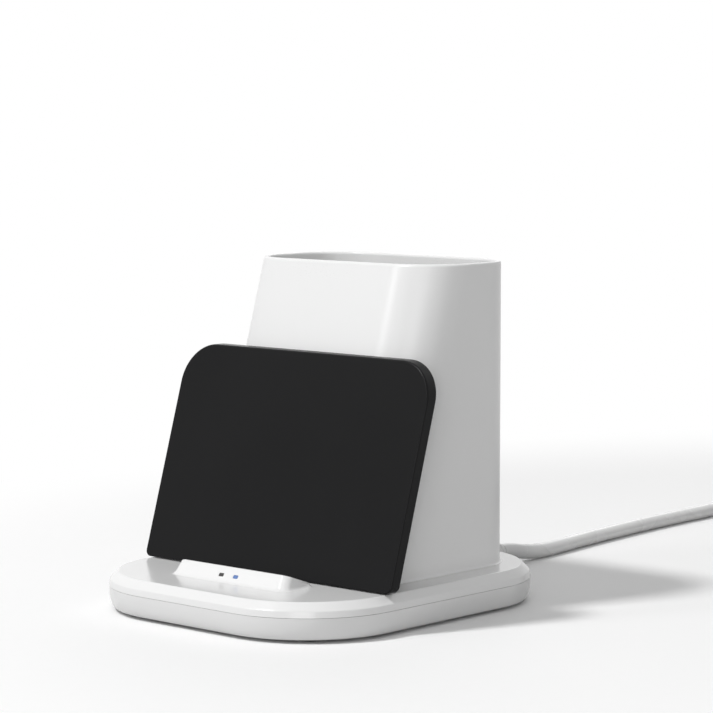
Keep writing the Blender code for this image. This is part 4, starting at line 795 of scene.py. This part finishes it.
# Base cover: the upper half of the base in the same gloss white, with a flat deck, a sloped
# shoulder and, moulded in one with it, the low wedge in front of the panel.
COVER_FOOT = 7.34 * MM
DECK = 11.4 * MM
COVER_INSIDE = ((4.2, 9.6), (2.6, 8.55), (0.95, 8.55))
SKIRT_WALL = 0.95 * MM
SHOULDER_INSET = 0.36 * MM
SHOULDER_HEIGHT = 9.16 * MM
SHOULDER_EASE = 0.8 * MM
DECK_INSET = 2.75 * MM
DECK_MIDDLE_INSET = 4.2 * MM
LEDGE_HALF_WIDTH = 22.5 * MM
LEDGE_FRONT = -40.2 * MM
LEDGE_REAR = -28.3 * MM
LEDGE_FRONT_CORNER = 2.8 * MM
LEDGE_REAR_CORNER = 1.2 * MM
RIDGE = 4.2 * MM
FRONT_SLOPE = math.radians(33)
SIDE_SLOPE = math.radians(12)
SEAT_SLOPE = math.radians(20)
LEDGE_FLARE = 1.0 * MM
LEDGE_EMBED = 0.6 * MM
LEDGE_BLANK = 5.6 * MM
LEDGE_EASE = 0.45 * MM
WINDOW_RISE = 1.8 * MM
WINDOW_GAP = 0.04 * MM
TRAY_BOSS = (3.2 * MM, 5.3 * MM, 10.2 * MM)
BOARD_BOSS = (3.2 * MM, 8.1 * MM, 10.2 * MM)
LAMP_BOSS = (2.4 * MM, 7.5 * MM, 10.2 * MM)
BOSS_BORE = (1.4 * MM, 4.0 * MM, 10.0 * MM)
LAMP_BORE = (1.1 * MM, 6.6 * MM, 10.0 * MM)
CUP_BOSS_HOLE = (3.3 * MM, 7.6 * MM, 13.4 * MM)
TABS = (-30.0 * MM, 30.0 * MM)
TAB_HALF_WIDTH = 4.0 * MM
TAB_RISES = (-4.2 * MM, 0.7 * MM)
TAB_DEPTHS = (1.2 * MM, 2.6 * MM)
TAB_GAP = 0.3 * MM
SLOT_REACH = 2.0 * MM
SLOT_CORNER = 0.4 * MM
WIRES_FROM_MIDDLE = 11.0 * MM
WIRES_HALF_WIDTH = 2.0 * MM
WIRES_DEPTHS = (1.0 * MM, 2.9 * MM)
PANEL_LEAN = math.radians(16.7)
PANEL_FOOT = -25.3 * MM
PANEL_BOTTOM = 11.7 * MM
BOARD_SCREWS = [(x * MM, y * MM) for y in (22, 49.6) for x in (-16, 16)]
LAMP_SCREWS = [(-7.5 * MM, LAMP_ROW), (7.5 * MM, LAMP_ROW)]
CUP_SCREWS = [(x * MM, y * MM) for y in (-8.02, 35) for x in (-27, 27)]
LEANING = Matrix((
    (1, 0, 0, 0),
    (0, math.sin(PANEL_LEAN), 1 / math.cos(PANEL_LEAN), PANEL_FOOT),
    (0, math.cos(PANEL_LEAN), 0, PANEL_BOTTOM),
    (0, 0, 0, 1),
))


def eased(corners, radius, steps=6):
    """Profile through the corners, with an arc at each one between its ends."""
    corners = [Vector(corner) for corner in corners]
    profile = [corners[0]]
    for before, corner, after in zip(corners, corners[1:], corners[2:]):
        back, ahead = (before - corner).normalized(), (after - corner).normalized()
        half = back.angle(ahead) / 2
        centre = corner + (back + ahead).normalized() * radius / math.sin(half)
        first = corner + back * radius / math.tan(half) - centre
        last = corner + ahead * radius / math.tan(half) - centre
        for step in range(steps + 1):
            profile.append(centre + first.normalized().slerp(last.normalized(), step / steps) * radius)
    return profile + [corners[-1]]


def ledge_front(rise):
    """How far back the wedge's front face is at a height over the deck."""
    return LEDGE_FRONT + rise * math.tan(FRONT_SLOPE)


def wedge():
    """The ledge: a block with sloped sides and a flared foot, sliced by the seat, then rounded."""
    loops = []
    rises = [-LEDGE_EMBED, *(LEDGE_FLARE * along for _, along in rounding(6)), LEDGE_BLANK]
    for rise in rises:
        below = min(max(LEDGE_FLARE - rise, 0), LEDGE_FLARE)
        flare = LEDGE_FLARE - math.sqrt(LEDGE_FLARE ** 2 - below ** 2)
        loops.append((
            LEDGE_HALF_WIDTH - rise * math.tan(SIDE_SLOPE) + flare, ledge_front(rise) - flare,
            LEDGE_REAR + flare / 2, DECK + rise, LEDGE_FRONT_CORNER + flare, LEDGE_REAR_CORNER + flare,
        ))
    mesh = loft(loops, 10)
    seat = Vector((0, math.sin(SEAT_SLOPE), math.cos(SEAT_SLOPE)))
    cut = bmesh.ops.bisect_plane(
        mesh, geom=mesh.verts[:] + mesh.edges[:] + mesh.faces[:],
        plane_co=(0, ledge_front(RIDGE), DECK + RIDGE), plane_no=seat, clear_outer=True,
    )["geom_cut"]
    rim = [item for item in cut if isinstance(item, bmesh.types.BMEdge)]
    bmesh.ops.contextual_create(mesh, geom=rim)
    bmesh.ops.bevel(mesh, geom=rim, offset=LEDGE_EASE, offset_type="OFFSET", segments=4,
                    profile=0.5, material=-1, affect="EDGES")
    return mesh


def window_bar(middle, grown, start, end):
    """Bar with round corners, square to the ledge's front face."""
    half_width, half_height, corner = 0.95 * MM + grown, 0.52 * MM + grown, 0.3 * MM + grown
    mesh = loft([(half_width, -half_height, half_height, depth, corner) for depth in (start, end)], 6)
    mesh.transform(Matrix((
        (1, 0, 0, middle),
        (0, math.sin(FRONT_SLOPE), math.cos(FRONT_SLOPE), ledge_front(WINDOW_RISE)),
        (0, math.cos(FRONT_SLOPE), -math.sin(FRONT_SLOPE), DECK + WINDOW_RISE),
        (0, 0, 0, 1),
    )))
    return mesh


def tab(middle, grown):
    """Tab under the panel that enters the deck, or with some growth the cutter for its slot."""
    reach = SLOT_REACH if grown else 0
    low, high = TAB_RISES
    front, rear = TAB_DEPTHS
    mesh = loft([
        (TAB_HALF_WIDTH + grown, low - reach, high + reach, depth, SLOT_CORNER)
        for depth in (front - grown, rear + grown)
    ], 4)
    mesh.transform(LEANING @ Matrix.Translation((middle, 0, 0)))
    return mesh


def wire_slot(low, high):
    """Passage for the coil's wires, between two rises in the panel's plane."""
    mesh = loft([(WIRES_HALF_WIDTH, low, high, depth, SLOT_CORNER) for depth in WIRES_DEPTHS], 4)
    mesh.transform(LEANING @ Matrix.Translation((WIRES_FROM_MIDDLE, 0, 0)))
    return mesh


shoulder = eased((
    (0, COVER_FOOT), (SHOULDER_INSET, SHOULDER_HEIGHT), (DECK_INSET, DECK), (DECK_MIDDLE_INSET, DECK),
), SHOULDER_EASE)
cover_section = [
    *((inset * MM, height * MM) for inset, height in COVER_INSIDE), (SKIRT_WALL, COVER_FOOT), *shoulder,
]
cover = loft([base_loop(inset, height) for inset, height in cover_section], 24)
cover = combine(cover, [
    wedge(),
    *posts(BASE_SCREWS, *TRAY_BOSS),
    *posts(BOARD_SCREWS, *BOARD_BOSS),
    *posts(LAMP_SCREWS, *LAMP_BOSS),
], "UNION")
# Known fault: the exact solver takes nothing away at the two tab cutters, so the deck has no
# slots here, and the tabs run through it. The CAD model's cover has the slots.
cover = combine(cover, [
    *posts(BASE_SCREWS + BOARD_SCREWS, *BOSS_BORE),
    *posts(LAMP_SCREWS, *LAMP_BORE),
    *posts(CUP_SCREWS, *CUP_BOSS_HOLE),
    *(tab(side, TAB_GAP) for side in TABS),
    wire_slot(low=-4.0 * MM, high=2.0 * MM),
    *(window_bar(middle, WINDOW_GAP, start=-2.0 * MM, end=8.9 * MM)
      for middle in (-WINDOW_FROM_MIDDLE, WINDOW_FROM_MIDDLE)),
])
dress("cover", cover, gloss_white, "base_white", "base_top_shell")

# Lamp windows: two short light guides of clear plastic, set flush in the ledge's front. The
# left one is smoked and dark, the right one carries blue light from the lamp behind it.
GUIDE_FRONT = 0.1 * MM
GUIDE_REAR = 6.9 * MM

lit_blue, shader, place = new_finish("lit_blue", Specular_IOR_Level=0.5, Emission_Strength=0.36)
core = 1 - (place.x() - WINDOW_FROM_MIDDLE).size().limited(0.1 * MM, 1.2 * MM)
haze = place.noise(1500, 3)
lay_on(
    shader,
    Base_Color=haze.blend((0.05, 0.12, 0.24), (0.08, 0.17, 0.32)),
    Roughness=0.18 + 0.1 * haze,
    Emission_Color=core.blend((0.09, 0.11, 0.42), (0.17, 0.22, 0.6)),
)
smoked, shader, place = new_finish("smoked_window", Specular_IOR_Level=0.5)
haze = place.noise(1500, 3)
lay_on(
    shader,
    Base_Color=haze.blend((0.06, 0.056, 0.054), (0.035, 0.033, 0.032)),
    Roughness=0.2 + 0.12 * haze,
)
dress("lit_window", window_bar(WINDOW_FROM_MIDDLE, 0, GUIDE_FRONT, GUIDE_REAR),
      lit_blue, "blue_lens", "charging_window")
dress("dark_window", window_bar(-WINDOW_FROM_MIDDLE, 0, GUIDE_FRONT, GUIDE_REAR),
      smoked, "smoked_lens", "standby_window")

# Cup: one deep moulding in white, open at the top, with a rounded rim. Its front wall leans
# back as the panel does, so the panel lies flat on it, and it is screwed to the deck from below.
CUP_FOOT = 11.7 * MM
CUP_RIM = 101.0 * MM
CUP_REAR = 46.8 * MM
CUP_FRONT_FOOT = -21.02 * MM
CUP_WALL = 1.5 * MM
CUP_CORNER = 16.41 * MM
CUP_HALF_WIDTH = 38.2 * MM
CUP_FLOOR = 13.9 * MM
CUP_FLOOR_EASE = 1.6 * MM
CUP_FOOT_FLARE = 0.7 * MM
CUP_SEAM = 0.03 * MM
CUP_BOSS = (3.0 * MM, 9.6 * MM, 12.3 * MM)
CUP_BORE = (1.4 * MM, 7.6 * MM, 13.1 * MM)
WALL_SHARES = (0.3, 0.5, 0.7)


def cup_loop(inset, height):
    """The cup's outline at a height, drawn in by the inset."""
    front = CUP_FRONT_FOOT + (height - CUP_FOOT) * math.tan(PANEL_LEAN) + inset / math.cos(PANEL_LEAN)
    return CUP_HALF_WIDTH - inset, front, CUP_REAR - inset, height, CUP_CORNER - inset


cup_white, shader, place = new_finish("cup_white", Specular_IOR_Level=0.45)
flow = place.noise(14, 2, 0.3)
texture = place.noise(2400, 3)
lay_on(
    shader,
    Base_Color=(0.6 * flow + 0.4 * texture).blend((0.822, 0.822, 0.82), (0.806, 0.807, 0.806)),
    Roughness=0.25 + 0.04 * flow + 0.03 * texture,
    Normal=texture.bump(0.0003 * MM),
)
cup_section = [
    (CUP_WALL + CUP_FLOOR_EASE * inward, CUP_FLOOR + CUP_FLOOR_EASE * along) for inward, along in rounding(6)
]
cup_section += [(CUP_WALL, (CUP_RIM + CUP_FLOOR) * share) for share in WALL_SHARES]
cup_section += [
    (CUP_WALL / 2 * (1 + math.cos(angle)), CUP_RIM - CUP_WALL / 2 * (1 - math.sin(angle)))
    for angle in (math.pi * step / 12 for step in range(13))
]
cup_section += [(0, (CUP_RIM + CUP_FOOT) * share) for share in reversed(WALL_SHARES)]
cup_section += [
    (-CUP_FOOT_FLARE * along, DECK + CUP_SEAM + CUP_FOOT_FLARE * inward) for inward, along in rounding(6)
]
cup = loft([cup_loop(inset, height) for inset, height in cup_section], 24)
cup = combine(cup, posts(CUP_SCREWS, *CUP_BOSS), "UNION")
cup = combine(cup, posts(CUP_SCREWS, *CUP_BORE))
dress("cup", cup, cup_white, "cup_white", "cup_shell")

# Charging panel: a shallow black tray in satin plastic, closed from behind by a plate with four
# screws, with the coil between them. Two tabs under it enter the deck, and tape holds it to the cup.
PANEL_HALF_WIDTH = 49.1 * MM
PANEL_HEIGHT = 66.0 * MM
PANEL_THICKNESS = 3.5 * MM
PANEL_WALL = 1.4 * MM
PANEL_SKIN = 0.8 * MM
PANEL_EASE = 0.5 * MM
PANEL_LOWER_CORNER = 2.0 * MM
PANEL_LEAST_CORNER = 0.6 * MM
PANEL_UPPER_CORNER = 12.0 * MM
PANEL_BOSS = (1.8 * MM, 0.5 * MM, 2.3 * MM)
PANEL_BORE = (0.9 * MM, 0.8 * MM, 3.5 * MM)
PLATE_BORE = (0.9 * MM, 0.8 * MM, 5.5 * MM)
PLATE_INSET = 1.7 * MM
PLATE_FRONT = 2.5 * MM
PANEL_SCREWS = [(x * MM, rise * MM) for rise in (8, 54) for x in (-43.5, 43.5)]


def panel_loop(inset, depth):
    """The panel's outline in its own plane, drawn in by the inset."""
    lower_corner = max(PANEL_LOWER_CORNER - inset, PANEL_LEAST_CORNER)
    upper_corner = PANEL_UPPER_CORNER - inset
    return PANEL_HALF_WIDTH - inset, inset, PANEL_HEIGHT - inset, depth, lower_corner, upper_corner


satin_black, shader, place = new_finish("satin_black", Specular_IOR_Level=0.11)
clouds = place.noise(30, 4).limited(0.3, 0.75)
dust = place.noise(1300, 6, 0.75).limited(0.62, 0.78)
grain = place.noise(4200, 2)
lay_on(
    shader,
    Base_Color=dust.blend((0.0055, 0.0055, 0.006), (0.013, 0.013, 0.0135)),
    Roughness=0.3 + 0.08 * clouds + 0.1 * dust,
    Normal=grain.bump(0.004 * MM),
)
front_section = [(PANEL_WALL, PANEL_SKIN), (PANEL_WALL, PANEL_THICKNESS), (0, PANEL_THICKNESS)]
front_section += [(PANEL_EASE * along, PANEL_EASE * inward) for inward, along in rounding(6)]
front = loft([panel_loop(inset, depth) for inset, depth in front_section], 20)
front = combine(front, posts(PANEL_SCREWS, *PANEL_BOSS), "UNION")
front = combine(front, posts(PANEL_SCREWS, *PANEL_BORE))
front.transform(LEANING)
front = combine(front, [tab(side, 0) for side in TABS], "UNION")
front = combine(front, [wire_slot(low=-2.0 * MM, high=3.4 * MM)])
dress("panel_front", front, satin_black, "panel_black", "panel_cover")
rear = loft([panel_loop(PLATE_INSET, depth) for depth in (PLATE_FRONT, PANEL_THICKNESS)], 20)
rear = combine(rear, posts(PANEL_SCREWS, *PLATE_BORE))
rear.transform(LEANING)
dress("panel_rear", rear, satin_black, "panel_black", "panel_back")

# Panel screws: four small self-tapping ones of the same plated steel, driven from behind
# through the plate into the bosses in front of it, with their heads on the plate.
for number, at in enumerate(PANEL_SCREWS, start=1):
    small = screw(at, head_radius=1.6 * MM, head_end=4.5 * MM, neck=3.7 * MM,
                  shank_radius=0.7 * MM, tip=1.0 * MM)
    small.transform(LEANING)
    dress(f"plate_screw_{number}", small, plated_steel, "plated_steel", f"panel_screw_{number}")

# Charging coil: a flat spiral of eight turns in varnished copper strand, wound to and fro with a
# slight twist, and its two wires in red insulation, which run down through the deck.
varnished_copper, shader, place = new_finish("varnished_copper", Coat_Roughness=0.15)
strands = place.cells(5200)
varnish = place.noise(240, 4).limited(0.3, 0.75)
lay_on(
    shader,
    Base_Color=(0.5 * strands + 0.5 * varnish).blend((0.58, 0.24, 0.1), (0.76, 0.37, 0.17)),
    Metallic=0.85 + 0.15 * varnish,
    Roughness=0.3 + 0.14 * varnish + 0.1 * strands,
    Coat_Weight=0.4 + 0.4 * varnish,
    Normal=strands.bump(0.03 * MM),
)
refinish(varnished_copper, "charging_coil")
red_sleeve, shader, place = new_finish("red_sleeve", Specular_IOR_Level=0.45)
drawn = place.stretched(3000, 400, 3000).noise(1, 3)
scuffs = place.noise(500, 4).limited(0.5, 0.75)
lay_on(
    shader,
    Base_Color=(0.5 * drawn + 0.5 * scuffs).blend((0.46, 0.02, 0.018), (0.6, 0.055, 0.045)),
    Roughness=0.38 + 0.1 * drawn + 0.15 * scuffs,
    Normal=drawn.bump(0.01 * MM),
)
refinish(red_sleeve, "coil_lead_1", "coil_lead_2")

# Fixing tape: a thin pad of grey acrylic foam, cut from the roll and sticky on both faces. It
# holds the panel's back to the cup's front wall.
acrylic_foam, shader, place = new_finish("acrylic_foam", Specular_IOR_Level=0.3)
bubbles = place.cells(2600)
pressed = place.noise(120, 4).limited(0.35, 0.7)
lay_on(
    shader,
    Base_Color=(0.6 * bubbles + 0.4 * pressed).blend((0.42, 0.42, 0.41), (0.58, 0.58, 0.56)),
    Roughness=0.62 + 0.2 * bubbles - 0.1 * pressed,
    Normal=bubbles.bump(0.05 * MM),
)
refinish(acrylic_foam, "fixing_tape")

# Floor and surround: a wide sheet of white paper that fades into a white surround away from the
# stand. The camera, reflections and glass see the surround white, and it lights the stand softly.
FLOOR_MIDDLE = (20 * MM, 110 * MM, 0)
FLOOR_HALF_WIDTH = 12.0
SHADOW_HALF_WIDTH = 0.15
SHADOW_HALF_DEPTH = 0.22
SHADOWS_REACH = 1.0
WHITE_FROM = 1.9
AMBIENT = 0.38
LAMPS = (
    ("key", (-0.569, -1.116, 1.969), (0, 0, 0.04), 0.3, 29),
    ("rear", (-1.0, 1.6, 1.1), (0, 0, 0.05), 1.2, 5),
    ("strip", (-0.9, -1.75, 1.05), (0, 0, 0.05), 0.3, 4),
    ("fill", (1.2, -1.55, 0.42), (0, 0, 0.05), 0.8, 8),
)


def seen_directly(tree):
    """1 for what the camera sees, straight or through a reflection or glass."""
    camera_ray = Signal(tree).node("ShaderNodeLightPath", output="Is Camera Ray")
    outputs = camera_ray.socket.node.outputs
    return camera_ray + Signal(tree, outputs["Is Glossy Ray"]) + Signal(tree, outputs["Is Transmission Ray"])


floor_mesh = bmesh.new()
bmesh.ops.create_grid(floor_mesh, x_segments=4, y_segments=4, size=FLOOR_HALF_WIDTH)
floor_data = bpy.data.meshes.new("floor")
floor_mesh.to_mesh(floor_data)
floor_mesh.free()
floor = bpy.data.objects.new("floor", floor_data)
bpy.context.scene.collection.objects.link(floor)
paper, shader, place = new_finish("paper", Roughness=0.9, Specular_IOR_Level=0.1)
fibre = place.noise(300, 3)
seen = seen_directly(paper.node_tree)
bright = fibre.blend((0.97, 0.97, 0.97), (0.985, 0.985, 0.985))
lay_on(shader, Base_Color=seen.blend((0.5, 0.5, 0.5), bright))
away = place.vector_maths("SUBTRACT", FLOOR_MIDDLE)
away = away.stretched(1 / SHADOW_HALF_WIDTH, 1 / SHADOW_HALF_DEPTH, 0)
distance = away.vector_maths("LENGTH", output="Value")
white = place.node("ShaderNodeEmission", {}, {"Strength": 1.0})
faded = place.node("ShaderNodeMixShader", {}, {
    0: distance.limited(SHADOWS_REACH, WHITE_FROM) * seen,
    1: Signal(paper.node_tree, shader.outputs["BSDF"]), 2: white,
})
paper.node_tree.links.new(faded.socket, paper.node_tree.nodes["Material Output"].inputs["Surface"])
floor_data.materials.append(paper)

world = bpy.data.worlds.new("surround")
world.use_nodes = True
bpy.context.scene.world = world
background = world.node_tree.nodes["Background"]
background.inputs["Color"].default_value = (1, 1, 1, 1)
strength = AMBIENT + (1 - AMBIENT) * seen_directly(world.node_tree)
world.node_tree.links.new(strength.socket, background.inputs["Strength"])


def softbox(name, centre, target, size, power):
    """Square lamp that faces a point."""
    lamp = bpy.data.lights.new(name, "AREA")
    lamp.shape, lamp.size, lamp.energy = "SQUARE", size, power
    item = bpy.data.objects.new(name, lamp)
    item.location = centre
    item.rotation_euler = (Vector(target) - Vector(centre)).to_track_quat("-Z", "Y").to_euler()
    bpy.context.scene.collection.objects.link(item)


for lamp in LAMPS:
    softbox(*lamp)

bpy.context.scene.view_settings.view_transform = "Standard"
